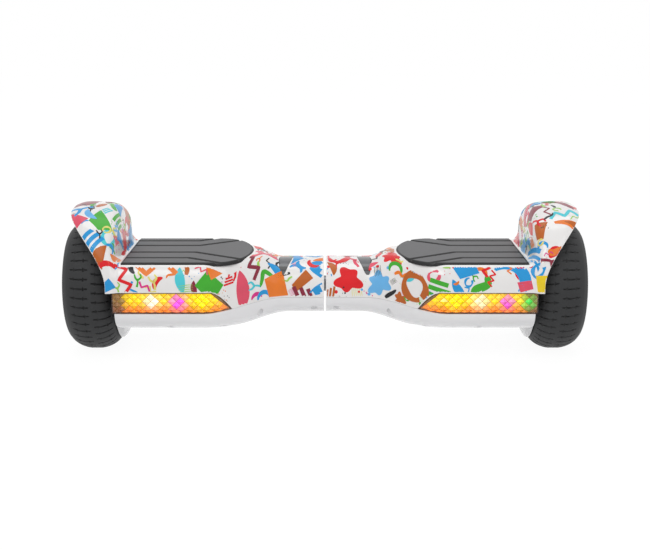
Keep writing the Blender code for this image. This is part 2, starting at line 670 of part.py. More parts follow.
def frame(side, metal):
    """Cast frame: a ribbed plate, a boss round the shaft and a saddle for the axle."""
    who = label(side)
    rows = []
    for x in (BOSS_END_X - 8 * MM, 80 * MM, 94 * MM, 108 * MM, 122 * MM, DECK_START, SADDLE_X[1]):
        w = float(plate_half_depth(x))
        r = w - min(RIB_WIDTH, 0.5 * w)
        outline = [(-w, PLATE_TOP), (w, PLATE_TOP), (w, RIB_BOTTOM), (r, RIB_BOTTOM), (r, PLATE_BOTTOM),
                   (-r, PLATE_BOTTOM), (-r, RIB_BOTTOM), (-w, RIB_BOTTOM)]
        rows.append([(side * x, y, z) for y, z in outline])
    body = swept(f"frame_{who}", np.array(rows), metal)
    boss = [(FLANGE_X, 0), (FLANGE_X, FLANGE_RADIUS), (FLANGE_X + 4 * MM, FLANGE_RADIUS),
            (FLANGE_X + 4 * MM, BOSS_RADIUS), (BOSS_END_X, BOSS_RADIUS), (BOSS_END_X, 0)]
    join(body, turned(f"frame_boss_{who}", boss, metal, "X", (0, 0, AXLE_Z), SHAFT_SEGMENTS, side))
    join(body, block(f"frame_saddle_{who}", (SADDLE_X[0], -SADDLE_HALF_DEPTH, AXLE_Z + FIT),
                     (SADDLE_X[1] - FIT, SADDLE_HALF_DEPTH, PLATE_BOTTOM + PLATE_THICKNESS / 2), metal, side))
    for x in (SENSOR_X[0] + 6 * MM, SENSOR_X[1] - 6 * MM):
        for y in (SENSOR_HALF_DEPTH - 5 * MM, 5 * MM - SENSOR_HALF_DEPTH):
            top = PLATE_TOP + SENSOR_POST_HEIGHT - FIT
            post = [(PLATE_BOTTOM + 1 * MM, 0), (PLATE_BOTTOM + 1 * MM, 3 * MM), (top, 3 * MM), (top, 0)]
            join(body, turned(f"board_post_{who}_{round(x / MM)}_{y > 0}", post, metal, "Z", (x, y, 0), 8, side))
    bore = SHAFT_RADIUS + FIT + (BUSHING_WALL + FIT if side > 0 else 0)
    hole = [(0, 0), (0, bore), (BOSS_END_X + 20 * MM, bore), (BOSS_END_X + 20 * MM, 0)]
    cut(body, turned(f"shaft_bore_{who}", hole, metal, "X", (0, 0, AXLE_Z), SHAFT_SEGMENTS, side))
    if side > 0:
        room = SHAFT_RADIUS + CLIP_WALL + 4 * FIT
        cut(body, block("clip_slot", (BOSS_END_X, -room, AXLE_Z - room), (BOSS_END_X + 8 * MM, room, PLATE_TOP + FIT),
                        metal))
    groove = [(SADDLE_X[0] - 5 * MM, 0), (SADDLE_X[0] - 5 * MM, AXLE_RADIUS + FIT),
              (SADDLE_X[1] + 5 * MM, AXLE_RADIUS + FIT), (SADDLE_X[1] + 5 * MM, 0)]
    cut(body, turned(f"axle_groove_{who}", groove, metal, "X", (0, 0, AXLE_Z), SHAFT_SEGMENTS, side))
    for x, y in screw_places():
        tag = f"{who}_{round(x / MM)}_{'front' if y < 0 else 'back'}"
        top = RIB_BOTTOM + SCREW_GRIP + 1 * MM
        thread = [(RIB_BOTTOM - 5 * MM, 0), (RIB_BOTTOM - 5 * MM, SCREW_RADIUS + FIT),
                  (top, SCREW_RADIUS + FIT), (top, 0)]
        cut(body, turned(f"screw_thread_{tag}", thread, metal, "Z", (x, y, 0), 8, side))
    return body


def axle_clamp(side, metal):
    """Lower half of the axle's seat, in one outline with its round groove."""
    radius = AXLE_RADIUS + FIT
    top = AXLE_Z - FIT
    start = math.asin(FIT / radius)
    arc = [(radius * math.cos(a), AXLE_Z - radius * math.sin(a)) for a in np.linspace(start, math.pi - start, 13)]
    outline = [(SADDLE_HALF_DEPTH, CLAMP_BOTTOM), (SADDLE_HALF_DEPTH, top)] + arc
    outline += [(-SADDLE_HALF_DEPTH, top), (-SADDLE_HALF_DEPTH, CLAMP_BOTTOM)]
    sections = np.array([[(side * x, y, z) for y, z in outline] for x in (SADDLE_X[0], SADDLE_X[1] - FIT)])
    swept(f"axle_clamp_{label(side)}", sections, metal)


def sensor_board(side, board):
    low = PLATE_TOP + SENSOR_POST_HEIGHT
    block(f"sensor_board_{label(side)}", (SENSOR_X[0], -SENSOR_HALF_DEPTH, low),
          (SENSOR_X[1], SENSOR_HALF_DEPTH, low + BOARD_THICKNESS), board, side)


# ---------------------------------------------------------------- wheels
def wheel(side, rubber, metal, steel, copper):
    who = label(side)
    centre = (0, 0, AXLE_Z)
    origin = (side * (TYRE_INNER_X + TYRE_WIDTH / 2), 0, AXLE_Z)
    inner = TYRE_INNER_X
    outer = TYRE_OUTER_X
    seat = RIM_RADIUS + FIT
    wall = TYRE_RADIUS - seat
    middle = (inner + outer) / 2
    half = [(width * TYRE_WIDTH / 2, seat + rise * wall) for width, rise in TREAD_SHAPE]
    tread = [(middle + x, r) for x, r in half] + [(middle - x, r) for x, r in reversed(half)]
    flats = 1 / math.cos(math.pi / TYRE_SEGMENTS)   # the tyre stands on a flat of its polygon
    tread = [(x, r * flats) for x, r in tread]
    turned(f"tyre_{who}", tread, rubber, "X", centre, TYRE_SEGMENTS, side, origin=origin)

    face = inner + RIM_INSET
    lip = outer - RIM_INSET
    bearing = BEARING_RADIUS + FIT
    boss = BEARING_RADIUS + HUB_WALL
    barrel = RIM_RADIUS - RIM_WALL
    cover_face = lip - COVER_THICKNESS
    ledge = RIM_RADIUS - COVER_LEDGE
    rim = [(lip, RIM_RADIUS), (face, RIM_RADIUS), (face, bearing), (face + HUB_LENGTH, bearing),
           (face + HUB_LENGTH, boss), (face + RIM_FLANGE, boss), (face + RIM_FLANGE, barrel),
           (cover_face, barrel), (cover_face, ledge), (lip, ledge)]
    turned(f"rim_{who}", rim, metal, "X", centre, SEGMENTS, side, origin=origin)

    edge = ledge - FIT
    back = cover_face + FIT
    deep = back - HUB_LENGTH + EDGE_BREAK
    seat_end = back - BEARING_SETBACK
    cover = [(lip, 0), (lip, edge - EDGE_BREAK), (lip - EDGE_BREAK, edge), (back, edge), (back, boss),
             (deep, boss), (deep, bearing), (seat_end, bearing), (seat_end, 0)]
    turned(f"wheel_cover_{who}", cover, metal, "X", centre, SEGMENTS, side, origin=origin)

    race = AXLE_RADIUS + FIT
    far = seat_end - BEARING_WIDTH - FIT
    for number, start in ((1, face + BEARING_SETBACK), (2, far)):
        ring = [(start, race), (start, BEARING_RADIUS), (start + BEARING_WIDTH, BEARING_RADIUS),
                (start + BEARING_WIDTH, race)]
        turned(f"wheel_bearing_{who}_{number}", ring, steel, "X", centre, SHAFT_SEGMENTS, side, origin=origin)

    left = face + HUB_LENGTH + STATOR_GAP
    right = deep - STATOR_GAP
    stator = [(left, race), (left, STATOR_RADIUS), (right, STATOR_RADIUS), (right, race)]
    turned(f"stator_{who}", stator, copper, "X", centre, SEGMENTS, side)
    tip = seat_end - FIT
    axle = [(SADDLE_X[0], 0), (SADDLE_X[0], AXLE_RADIUS - EDGE_BREAK), (SADDLE_X[0] + EDGE_BREAK, AXLE_RADIUS),
            (tip, AXLE_RADIUS), (tip, 0)]
    turned(f"axle_{who}", axle, steel, "X", centre, SHAFT_SEGMENTS, side)


# ---------------------------------------------------------------- centre joint
def centre_joint(steel, bronze):
    centre = (0, 0, AXLE_Z)
    end = BOSS_END_X + 5 * MM
    shaft = [(-BOSS_END_X, SHAFT_BORE), (-BOSS_END_X, SHAFT_RADIUS), (end, SHAFT_RADIUS), (end, SHAFT_BORE)]
    turned("centre_shaft", shaft, steel, "X", centre, SHAFT_SEGMENTS)
    inner = SHAFT_RADIUS + FIT
    outer = inner + BUSHING_WALL
    for number, start in ((1, FLANGE_X), (2, BOSS_END_X - BUSHING_LENGTH)):
        ring = [(start, inner), (start, outer), (start + BUSHING_LENGTH, outer), (start + BUSHING_LENGTH, inner)]
        turned(f"shaft_bushing_{number}", ring, bronze, "X", centre, SHAFT_SEGMENTS)
    start = BOSS_END_X + FIT
    clip = [(start, inner), (start, inner + CLIP_WALL + FIT), (start + CLIP_THICKNESS, inner + CLIP_WALL + FIT),
            (start + CLIP_THICKNESS, inner)]
    turned("shaft_clip", clip, steel, "X", centre, SHAFT_SEGMENTS)


# ---------------------------------------------------------------- electrics
def battery(wrap, metal):
    top = PLATE_BOTTOM - FIT
    low = top - BATTERY_HEIGHT
    block("battery_pack", (BATTERY_X[0], -BATTERY_HALF_DEPTH, low), (BATTERY_X[1], BATTERY_HALF_DEPTH, top), wrap)
    y0 = BATTERY_HALF_DEPTH + FIT
    y1 = y0 + STRAP_THICKNESS
    y2 = y1 + STRAP_FOOT
    z0 = low - FIT
    half = [(y0, top), (y0, z0)]
    outside = [(y1, z0 - STRAP_THICKNESS), (y1, top - STRAP_THICKNESS), (y2, top - STRAP_THICKNESS), (y2, top)]
    outline = [(-y, z) for y, z in half] + [(y, z) for y, z in reversed(half)]
    outline += [(y, z) for y, z in reversed(outside)] + [(-y, z) for y, z in outside]
    sections = np.array([[(x, y, z) for y, z in outline] for x in STRAP_X])
    swept("battery_strap", sections, metal)


def main_board(board, metal):
    top = PLATE_BOTTOM - FIT
    low = top - HEAT_SINK_HEIGHT
    pitch = 2 * HEAT_SINK_HALF_DEPTH / (2 * FIN_COUNT - 1)
    base = [(HEAT_SINK_HALF_DEPTH, low), (HEAT_SINK_HALF_DEPTH, top - 1 * MM)]
    outline = list(base)
    for n in range(FIN_COUNT - 1):
        left = HEAT_SINK_HALF_DEPTH - (2 * n + 1) * pitch
        outline += [(left, top - 1 * MM), (left, top - FIN_DEPTH), (left - pitch, top - FIN_DEPTH),
                    (left - pitch, top - 1 * MM)]
    outline += [(-HEAT_SINK_HALF_DEPTH, top - 1 * MM), (-HEAT_SINK_HALF_DEPTH, low)]
    outline = [(y, top if z == top - 1 * MM else z) for y, z in outline]
    sections = np.array([[(-x, y, z) for y, z in outline] for x in HEAT_SINK_X])
    swept("heat_sink", sections, metal)
    along, across = MAIN_BOARD_MARGIN
    deep = HEAT_SINK_HALF_DEPTH + across
    pcb_top = low - FIT
    pcb_middle = pcb_top - BOARD_THICKNESS / 2
    pcb = block("main_board", (HEAT_SINK_X[0] - along, -deep, pcb_top - BOARD_THICKNESS),
                (HEAT_SINK_X[1] + along, deep, pcb_top), board, -1)
    for n, x in enumerate(CAPACITOR_X):
        foot = pcb_top - CAPACITOR_HEIGHT
        can = [(foot, 0), (foot, CAPACITOR_RADIUS), (pcb_middle, CAPACITOR_RADIUS), (pcb_middle, 0)]
        join(pcb, turned(f"capacitor_{n}", can, board, "Z", (x, CAPACITOR_Y, 0), 16, -1))
    join(pcb, block("driver_chips", (CHIPS_X[0], -CHIPS_HALF_DEPTH, pcb_top - CHIPS_HEIGHT),
                    (CHIPS_X[1], CHIPS_HALF_DEPTH, pcb_middle), board, -1))


def power_button(plastic, metal):
    face = HALF_DEPTH + FIT
    barrel = BUTTON_RADIUS + 1.5 * MM
    flange = barrel + BEZEL_WIDTH
    bore = BUTTON_RADIUS + FIT
    deep = HALF_DEPTH - 12 * MM
    centre = (BUTTON_X, 0, BACK_FITTING_Z)
    housing = [(face + BEZEL_THICKNESS, bore), (face + BEZEL_THICKNESS, flange), (face, flange),
               (face, barrel), (deep, barrel), (deep, 4 * MM), (deep + 2 * MM, 4 * MM), (deep + 2 * MM, bore)]
    turned("button_housing", housing, metal, "Y", centre, SHAFT_SEGMENTS)
    low = deep + 2 * MM + BUTTON_TRAVEL + FIT
    button = [(low, 0), (low, BUTTON_RADIUS), (face + BEZEL_THICKNESS - 0.5 * MM, BUTTON_RADIUS),
              (face + BEZEL_THICKNESS, BUTTON_RADIUS - 1 * MM), (face + BEZEL_THICKNESS, 0)]
    turned("power_button", button, plastic, "Y", centre, SHAFT_SEGMENTS, origin=(BUTTON_X, low, BACK_FITTING_Z))


def charge_socket(plastic, rubber):
    face = HALF_DEPTH + FIT
    flange = SOCKET_RADIUS + BEZEL_WIDTH
    deep = face + BEZEL_THICKNESS - SOCKET_DEPTH
    centre = (SOCKET_X, 0, BACK_FITTING_Z)
    socket = [(deep - 2 * MM, 0), (deep - 2 * MM, SOCKET_RADIUS), (face, SOCKET_RADIUS), (face, flange),
              (face + BEZEL_THICKNESS, flange), (face + BEZEL_THICKNESS, SOCKET_BORE), (deep, SOCKET_BORE),
              (deep, 0)]
    turned("charge_socket", socket, plastic, "Y", centre, SHAFT_SEGMENTS)
    back = face + BEZEL_THICKNESS + FIT
    hinge = (SOCKET_X, back + 0.6 * MM, BACK_FITTING_Z + flange + 2 * MM)
    arc = [(flange * math.cos(a), flange * math.sin(a)) for a in np.radians(np.linspace(120, 420, 21))]
    tab = 4 * MM
    outline = arc + [(tab, flange + 3 * MM), (-tab, flange + 3 * MM)]
    sections = np.array([[(SOCKET_X + u, y, BACK_FITTING_Z + v) for u, v in outline]
                         for y in (back, back + 1.2 * MM)])
    swept("charge_cap", sections, rubber, origin=hinge)


# ---------------------------------------------------------------- assembly
def build():
    clear_scene()
    white = material("white_shell", (0.92, 0.92, 0.93), 0.12)
    printed = material("printed_shell", (0.90, 0.88, 0.86), 0.12)
    pad_rubber = material("pad_rubber", (0.10, 0.10, 0.11), 0.6)
    tyre_rubber = material("tyre_rubber", (0.03, 0.03, 0.03), 0.75)
    clear = material("clear_lens", (0.95, 0.80, 0.20), 0.05, 0.0, 0.4)
    smoked = material("smoked_lens", (0.12, 0.12, 0.13), 0.08)
    amber = material("amber_reflector", (1.0, 0.75, 0.05), 0.25)
    cast = material("cast_aluminium", (0.62, 0.63, 0.65), 0.45, 1.0)
    black_metal = material("black_metal", (0.05, 0.05, 0.055), 0.4, 1.0)
    steel = material("steel", (0.50, 0.51, 0.53), 0.3, 1.0)
    bronze = material("bronze", (0.60, 0.42, 0.20), 0.4, 1.0)
    copper = material("copper_winding", (0.72, 0.33, 0.15), 0.4, 1.0)
    board = material("circuit_board", (0.02, 0.16, 0.07), 0.5)
    wrap = material("battery_wrap", (0.05, 0.16, 0.45), 0.4)
    plastic = material("black_plastic", (0.03, 0.03, 0.03), 0.45)

    for side in (-1, 1):
        top_shell(side, printed)
        bottom_shell(side, white)
        screws(side, steel)
        foot_pad(side, pad_rubber, plastic)
        front_light(side, clear, amber, board)
        turn_lens(side, smoked)
        frame(side, cast)
        axle_clamp(side, cast)
        sensor_board(side, board)
        wheel(side, tyre_rubber, black_metal, steel, copper)
    centre_joint(steel, bronze)
    battery(wrap, steel)
    main_board(board, cast)
    power_button(plastic, steel)
    charge_socket(plastic, pad_rubber)


build()
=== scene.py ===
"""Looks of the self balancing board: fine shells with a print, grooved pads, tyres and lit lamps."""
import math

import bmesh
import bpy
import numpy as np
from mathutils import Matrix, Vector


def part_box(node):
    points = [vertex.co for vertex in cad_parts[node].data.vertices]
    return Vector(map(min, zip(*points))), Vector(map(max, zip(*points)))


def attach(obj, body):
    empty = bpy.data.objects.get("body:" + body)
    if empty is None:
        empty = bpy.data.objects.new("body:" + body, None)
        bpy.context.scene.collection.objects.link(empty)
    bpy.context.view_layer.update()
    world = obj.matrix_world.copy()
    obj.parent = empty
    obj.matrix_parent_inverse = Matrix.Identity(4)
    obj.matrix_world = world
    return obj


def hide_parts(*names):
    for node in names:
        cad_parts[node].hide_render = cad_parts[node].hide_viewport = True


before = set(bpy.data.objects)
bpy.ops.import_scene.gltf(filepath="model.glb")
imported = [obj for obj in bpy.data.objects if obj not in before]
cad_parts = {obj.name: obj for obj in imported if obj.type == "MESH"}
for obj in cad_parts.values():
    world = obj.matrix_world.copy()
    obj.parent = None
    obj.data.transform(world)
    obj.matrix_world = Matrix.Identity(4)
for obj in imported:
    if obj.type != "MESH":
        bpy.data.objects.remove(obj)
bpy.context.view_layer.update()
MM = 0.001
SIDES = {"left": -1, "right": 1}
MIRROR = np.array([-1, 1, 1])


def low(node, axis):
    return float(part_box(node)[0][axis])


def high(node, axis):
    return float(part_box(node)[1][axis])


# ---- sizes, from the frame where it has them
AXLE_Z = (low("tyre_right", 2) + high("tyre_right", 2)) / 2
TYRE_RADIUS = AXLE_Z
TYRE_INNER_X = low("tyre_right", 0)
TYRE_OUTER_X = high("tyre_right", 0)
RIM_RADIUS = high("rim_right", 2) - AXLE_Z
PAD_TOP = high("foot_pad_right", 2)
PAD_BOTTOM = low("foot_pad_right", 2)
PAD_OUTER_X = high("foot_pad_right", 0)
PAD_TIP_X = low("foot_pad_right", 0)
PAD_HALF_DEPTH = high("foot_pad_right", 1)
BODY_HALF_DEPTH = high("bottom_shell_right", 1)
FENDER_TIP = high("top_shell_right", 0)
FENDER_HEIGHT = high("top_shell_right", 2)
FENDER_HALF_DEPTH = high("top_shell_right", 1)
INNER_END_X = low("top_shell_right", 0)
APRON_REACH = 3.8 * MM
APRON_LIP_X = high("bottom_shell_right", 0)
END_X = APRON_LIP_X - APRON_REACH
DECK_Z = PAD_TOP - 1.2 * MM
FLOOR_Z = 38 * MM
SEAM_Z = 66 * MM
SHOULDER_Z = 92 * MM
SHOULDER_DEPTH = 18 * MM
SKIRT_DEPTH = 50 * MM
NECK_HALF_DEPTH = 40 * MM
NECK_HALF_HEIGHT = 34.4 * MM
NECK_SEAM_Z = AXLE_Z - 9 * MM
NECK_CROWN = 4 * MM
NECK_END = 52 * MM
DECK_START = 150 * MM
APRON_RADIUS = 62 * MM
APRON_LIP_RADIUS = 69.5 * MM
FENDER_FOOT = 250 * MM
FENDER_LOW_TIP = 267 * MM
WALL = 2.6 * MM
FIT = 0.3 * MM
PAD_WAIST_X = 142 * MM
LIGHT_OUTER_X = 260.3 * MM
LIGHT_INNER_TOP_X = 140 * MM
LIGHT_INNER_LOW_X = 113 * MM

# Way of the fender at its highest point: share of its reach, share of its rise
FENDER_PATH = ((0.0, 0.0), (0.035, 0.02), (0.057, 0.12), (0.071, 0.30), (0.08, 0.52), (0.107, 0.73),
               (0.167, 0.88), (0.267, 0.955), (0.427, 0.985), (0.68, 1.0), (0.86, 0.99), (1.0, 0.94))


# ---- small numeric helpers
def ease(x, start, end):
    """0 before start, 1 after end, cubic with level ends between."""
    s = np.clip((np.asarray(x, dtype=float) - start) / (end - start), 0, 1)
    return s * s * (3 - 2 * s)


def mix(a, b, s):
    return a + (b - a) * s


def spline(points, count):
    """Catmull-Rom curve through the points, read at even steps of its parameter."""
    p = np.array(points, dtype=float)
    p = np.vstack([2 * p[0] - p[1], p, 2 * p[-1] - p[-2]])
    t = np.linspace(0, len(points) - 1, count)
    i = np.minimum(t.astype(int), len(points) - 2)
    f = (t - i)[:, None]
    a, b, c, d = p[i], p[i + 1], p[i + 2], p[i + 3]
    bend = (2 * a - 5 * b + 4 * c - d) * f ** 2
    return 0.5 * (2 * b + (c - a) * f + bend + (3 * b - a - 3 * c + d) * f ** 3)


def unit_normals(grid):
    """Cross product of the grid's two tangents, turned away from the axle's line."""
    normal = np.cross(np.gradient(grid, axis=0), np.gradient(grid, axis=1))
    normal /= np.linalg.norm(normal, axis=-1, keepdims=True) + 1e-12
    outward = grid - np.array([0.0, 0.0, AXLE_Z])
    outward[..., 0] = 0
    return normal * np.where(np.sum(normal * outward, axis=-1, keepdims=True) < 0, -1, 1)


def round_angles(count):
    """Even steps round a circle, half a step off zero."""
    return (np.arange(count) + 0.5) * 2 * math.pi / count


def turned(along, radius, angle):
    """Points about the axle's line, at a distance from it."""
    return np.stack([along, radius * np.cos(angle), AXLE_Z + radius * np.sin(angle)], axis=-1)


# ---- meshes
def mesh_object(name, points, faces, mat, smooth=True, sharp=32):
    mesh = bpy.data.meshes.new(name)
    mesh.from_pydata(np.asarray(points, dtype=float).tolist(), [], [list(map(int, f)) for f in faces])
    for m in (mat if isinstance(mat, (list, tuple)) else [mat]):
        mesh.materials.append(m)
    obj = bpy.data.objects.new(name, mesh)
    bpy.context.scene.collection.objects.link(obj)
    mesh.update()
    if smooth:
        mesh.shade_smooth()
        mesh.set_sharp_from_angle(angle=math.radians(sharp))
    return obj


def grid_faces(rows, cols, start=0, wrap=False, flip=False):
    """Quads of a grid whose rows hold cols points; wrap closes each row into a ring."""
    i, j = np.meshgrid(np.arange(rows - 1), np.arange(cols if wrap else cols - 1), indexing="ij")
    k = (j + 1) % cols
    quads = np.stack([i * cols + j, (i + 1) * cols + j, (i + 1) * cols + k, i * cols + k], axis=-1)
    quads = quads.reshape(-1, 4) + start
    return quads[:, ::-1] if flip else quads


def volume(points, faces):
    """Signed volume of a closed mesh, as the sum of its tetrahedra to the origin."""
    p = np.asarray(points)
    q = np.asarray(faces)
    tri = np.concatenate([q[:, [0, 1, 2]], q[:, [0, 2, 3]]])
    return np.einsum("ij,ij->i", p[tri[:, 0]], np.cross(p[tri[:, 1]], p[tri[:, 2]])).sum()


def wall(name, outer, inner, mat, **look):
    """A closed wall between two grids of one size: both faces, and quads round their common edge."""
    rows, cols = outer.shape[:2]
    points = np.concatenate([outer.reshape(-1, 3), inner.reshape(-1, 3)])
    lift = rows * cols
    rim = list(range(cols)) + [i * cols + cols - 1 for i in range(1, rows)]
    rim += [(rows - 1) * cols + j for j in range(cols - 2, -1, -1)]
    rim += [i * cols for i in range(rows - 2, 0, -1)]
    a = np.array(rim)
    b = np.roll(a, -1)
    edge = np.stack([a, b, lift + b, lift + a], axis=-1)
    faces = np.concatenate([grid_faces(rows, cols), grid_faces(rows, cols, lift, flip=True), edge])
    if volume(points, faces) < 0:
        faces = faces[:, ::-1]
    return mesh_object(name, points, faces, mat, **look)


def closed_rings(name, grid, mat, **look):
    """Rings round the axle, joined one to the next and the last to the first."""
    rows, around = grid.shape[:2]
    faces = grid_faces(rows + 1, around, wrap=True) % (rows * around)
    points = grid.reshape(-1, 3)
    return mesh_object(name, points, faces[:, ::-1] if volume(points, faces) < 0 else faces, mat, **look)


def ring(name, profile, mat, segments=96, **look):
    """A closed profile of (x, radius) turned round the axle."""
    p = np.array(profile, dtype=float)
    x = np.repeat(p[:, :1], segments, axis=1)
    return closed_rings(name, turned(x, p[:, 1:], round_angles(segments)), mat, **look)


def prism(name, outline, axis, start, end):
    """An outline extruded along Y or Z; a cutter for windows and pockets."""
    return carried(name, [[(u, level, v) if axis == "Y" else (u, v, level) for u, v in outline]
                          for level in (start, end)])


def carried(name, rings):
    """Rings of points joined one to the next, with flat ends; a solid to add or cut."""
    points = np.concatenate([np.asarray(r, dtype=float) for r in rings])
    rows, count = len(rings), len(rings[0])
    ends = [list(range(count)), [(rows - 1) * count + j for j in reversed(range(count))]]
    faces = ends + grid_faces(rows, count, wrap=True).tolist()
    obj = mesh_object(name, points, faces, PRINT_BASE, smooth=False)
    outward(obj)
    return obj


def outward(obj):
    work = bmesh.new()
    work.from_mesh(obj.data)
    bmesh.ops.recalc_face_normals(work, faces=work.faces)
    work.to_mesh(obj.data)
    work.free()


def combine(target, operands, operation="DIFFERENCE"):
    """Applies Booleans with the operands, one by one, and removes them."""
    for operand in operands:
        change = target.modifiers.new("cut", "BOOLEAN")
        change.operation = operation
        change.solver = "EXACT"
        change.object = operand
    graph = bpy.context.evaluated_depsgraph_get()
    mesh = bpy.data.meshes.new_from_object(target.evaluated_get(graph))
    target.modifiers.clear()
    target.data = mesh
    for operand in operands:
        bpy.data.objects.remove(operand, do_unlink=True)
    mesh.shade_smooth()
    mesh.set_sharp_from_angle(angle=math.radians(32))
    return target


def mirrored_copy(obj, name):
    """The same piece on the other half: X negated and faces turned back out."""
    mesh = obj.data.copy()
    mesh.name = name
    points = np.zeros(len(mesh.vertices) * 3)
    mesh.vertices.foreach_get("co", points)
    points[::3] *= -1
    mesh.vertices.foreach_set("co", points)
    mesh.flip_normals()
    mesh.update()
    mesh.set_sharp_from_angle(angle=math.radians(32))
    copy = bpy.data.objects.new(name, mesh)
    bpy.context.scene.collection.objects.link(copy)
    return copy


def settle(pieces, body, gone):
    """Fixes each side's piece to its body and takes out the solid that it stands for."""
    for who, piece in pieces.items():
        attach(piece, body.format(who))
        if gone:
            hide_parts(f"{gone}_{who}")


# ---- materials
COAT_ROUGHNESS = 0.04


def linear(code):
    """sRGB hex to linear light, with alpha 1."""
    c = np.array([int(code[i:i + 2], 16) for i in (0, 2, 4)]) / 255
    c = np.where(c <= 0.04045, c / 12.92, ((c + 0.055) / 1.055) ** 2.4)
    return (*map(float, c), 1.0)


def feed(made, values):
    """Sets a node's properties and sockets; a socket that another node's output feeds is linked to it."""
    for key, value in values.items():
        if isinstance(value, bpy.types.NodeSocket):
            made.id_data.links.new(value, made.inputs[key])
        elif isinstance(key, str) and hasattr(made, key):
            setattr(made, key, value)
        else:
            made.inputs[key].default_value = value


def node(tree, kind, values=None, **settings):
    """Adds a node; values name its sockets, settings its properties and its one-word sockets."""
    made = tree.nodes.new(kind)
    feed(made, {**settings, **(values or {})})
    return made


def blended(tree, share, first, second):
    """The first shader where the share is 0, the second where it is 1."""
    return node(tree, "ShaderNodeMixShader", {0: share, 1: first.outputs[0], 2: second.outputs[0]})


def new_material(name):
    mat = bpy.data.materials.new(name)
    mat.use_nodes = True
    tree = mat.node_tree
    return mat, tree, tree.nodes["Principled BSDF"]


def finish(name, color, roughness, metallic=0.0, grain=None, depth=0.02, vary=0.04, coat=0.0):
    """A moulded, cast or turned finish: slight blotches in the colour, and a grain of a real size."""
    mat, tree, shader = new_material(name)
    place = node(tree, "ShaderNodeTexCoord").outputs["Object"]
    blotch = node(tree, "ShaderNodeTexNoise", {"Vector": place}, Scale=18.0, Detail=3.0)
    base = linear(color)
    dark = tuple(c * (1 - vary) for c in base[:3]) + (1.0,)
    tint = node(tree, "ShaderNodeMix", {"Factor": blotch.outputs["Fac"], 6: dark, 7: base}, data_type="RGBA")
    feed(shader, {"Base Color": tint.outputs[2], "Metallic": metallic, "Roughness": roughness})
    if coat:
        feed(shader, {"Coat Weight": coat, "Coat Roughness": COAT_ROUGHNESS})
    if grain:
        speck = node(tree, "ShaderNodeTexNoise", {"Vector": place}, Scale=1 / grain, Detail=2.0)
        bump = node(tree, "ShaderNodeBump", {"Height": speck.outputs["Fac"]}, Strength=0.35,
                    Distance=depth * MM)
        feed(shader, {"Normal": bump.outputs["Normal"]})
    return mat


WHITE_ABS = finish("white_moulded_abs", "f3f3f5", 0.16, vary=0.02, coat=0.5)
PRINT_BASE = finish("printed_shell_abs", "f6f4f3", 0.14, vary=0.02, coat=0.6)
PAD_RUBBER = finish("pad_moulded_rubber", "5c5c5e", 0.55, grain=0.6 * MM, depth=0.05, vary=0.10)
TYRE_RUBBER = finish("tyre_vulcanised_rubber", "222325", 0.62, grain=0.5 * MM, depth=0.06, vary=0.15)
CAST_ALUMINIUM = finish("cast_aluminium", "b4b6ba", 0.42, 1.0, grain=0.8 * MM, depth=0.05)
BLACK_COAT = finish("black_powder_coat", "1c1d20", 0.42, grain=0.5 * MM, depth=0.04)
TURNED_STEEL = finish("turned_steel", "a8abb0", 0.28, 1.0, grain=0.4 * MM)
BRONZE = finish("sintered_bronze", "b08a4a", 0.4, 1.0, grain=0.4 * MM)
COPPER = finish("enamelled_copper_wire", "b0602c", 0.35, 1.0, grain=0.7 * MM)
BOARD = finish("green_solder_mask", "12502c", 0.35)
SHRINK_WRAP = finish("blue_shrink_wrap", "1d4f9a", 0.35)
BLACK_ABS = finish("black_moulded_abs", "151517", 0.4, grain=0.5 * MM)


def darkened(tree, shader, source, attribute, dark):
    """Base colour that turns dark where the mesh's own attribute says so."""
    mask = node(tree, "ShaderNodeAttribute", attribute_name=attribute)
    tint = node(tree, "ShaderNodeMix", {"Factor": mask.outputs["Fac"], 6: source, 7: linear(dark)},
                data_type="RGBA")
    feed(shader, {"Base Color": tint.outputs[2]})


def two_tone(base_finish, name, attribute, dark):
    """Copies a finish and darkens its marked places with painted shade, such as the floor of a groove."""
    mat = base_finish.copy()
    mat.name = name
    shader = mat.node_tree.nodes["Principled BSDF"]
    darkened(mat.node_tree, shader, shader.inputs["Base Color"].links[0].from_socket, attribute, dark)
    return mat


def printed_ink():
    """Water-transfer ink under gloss: each motif's own colour, a little uneven, as a film laid on by hand."""
    mat, tree, shader = new_material("printed_ink_film")
    place = node(tree, "ShaderNodeTexCoord").outputs["Object"]
    tint = node(tree, "ShaderNodeAttribute", attribute_name="ink")
    uneven = node(tree, "ShaderNodeTexNoise", {"Vector": place}, Scale=70.0, Detail=3.0)
    light = node(tree, "ShaderNodeMapRange", {"Value": uneven.outputs["Fac"], "To Min": 0.94, "To Max": 1.12})
    shade = node(tree, "ShaderNodeVectorMath", {0: tint.outputs["Color"], "Scale": light.outputs["Result"]},
                 operation="SCALE")
    feed(shader, {"Base Color": shade.outputs["Vector"], "Roughness": 0.3, "Specular IOR Level": 0.25,
                  "Coat Weight": 0.25, "Coat Roughness": COAT_ROUGHNESS})
    return mat


def smoked():
    """Smoked polycarbonate: dark grey, glossy, with a black band that the mesh marks."""
    mat, tree, shader = new_material("smoked_polycarbonate")
    place = node(tree, "ShaderNodeTexCoord").outputs["Object"]
    fade = node(tree, "ShaderNodeTexNoise", {"Vector": place}, Scale=60.0)
    ramp = node(tree, "ShaderNodeValToRGB", {"Fac": fade.outputs["Fac"]})
    ramp.color_ramp.elements[0].color = linear("3d3e41")
    ramp.color_ramp.elements[1].color = linear("77797d")
    darkened(tree, shader, ramp.outputs["Color"], "band", "0c0c0d")
    feed(shader, {"Roughness": 0.12, "Coat Weight": 0.4})
    return mat


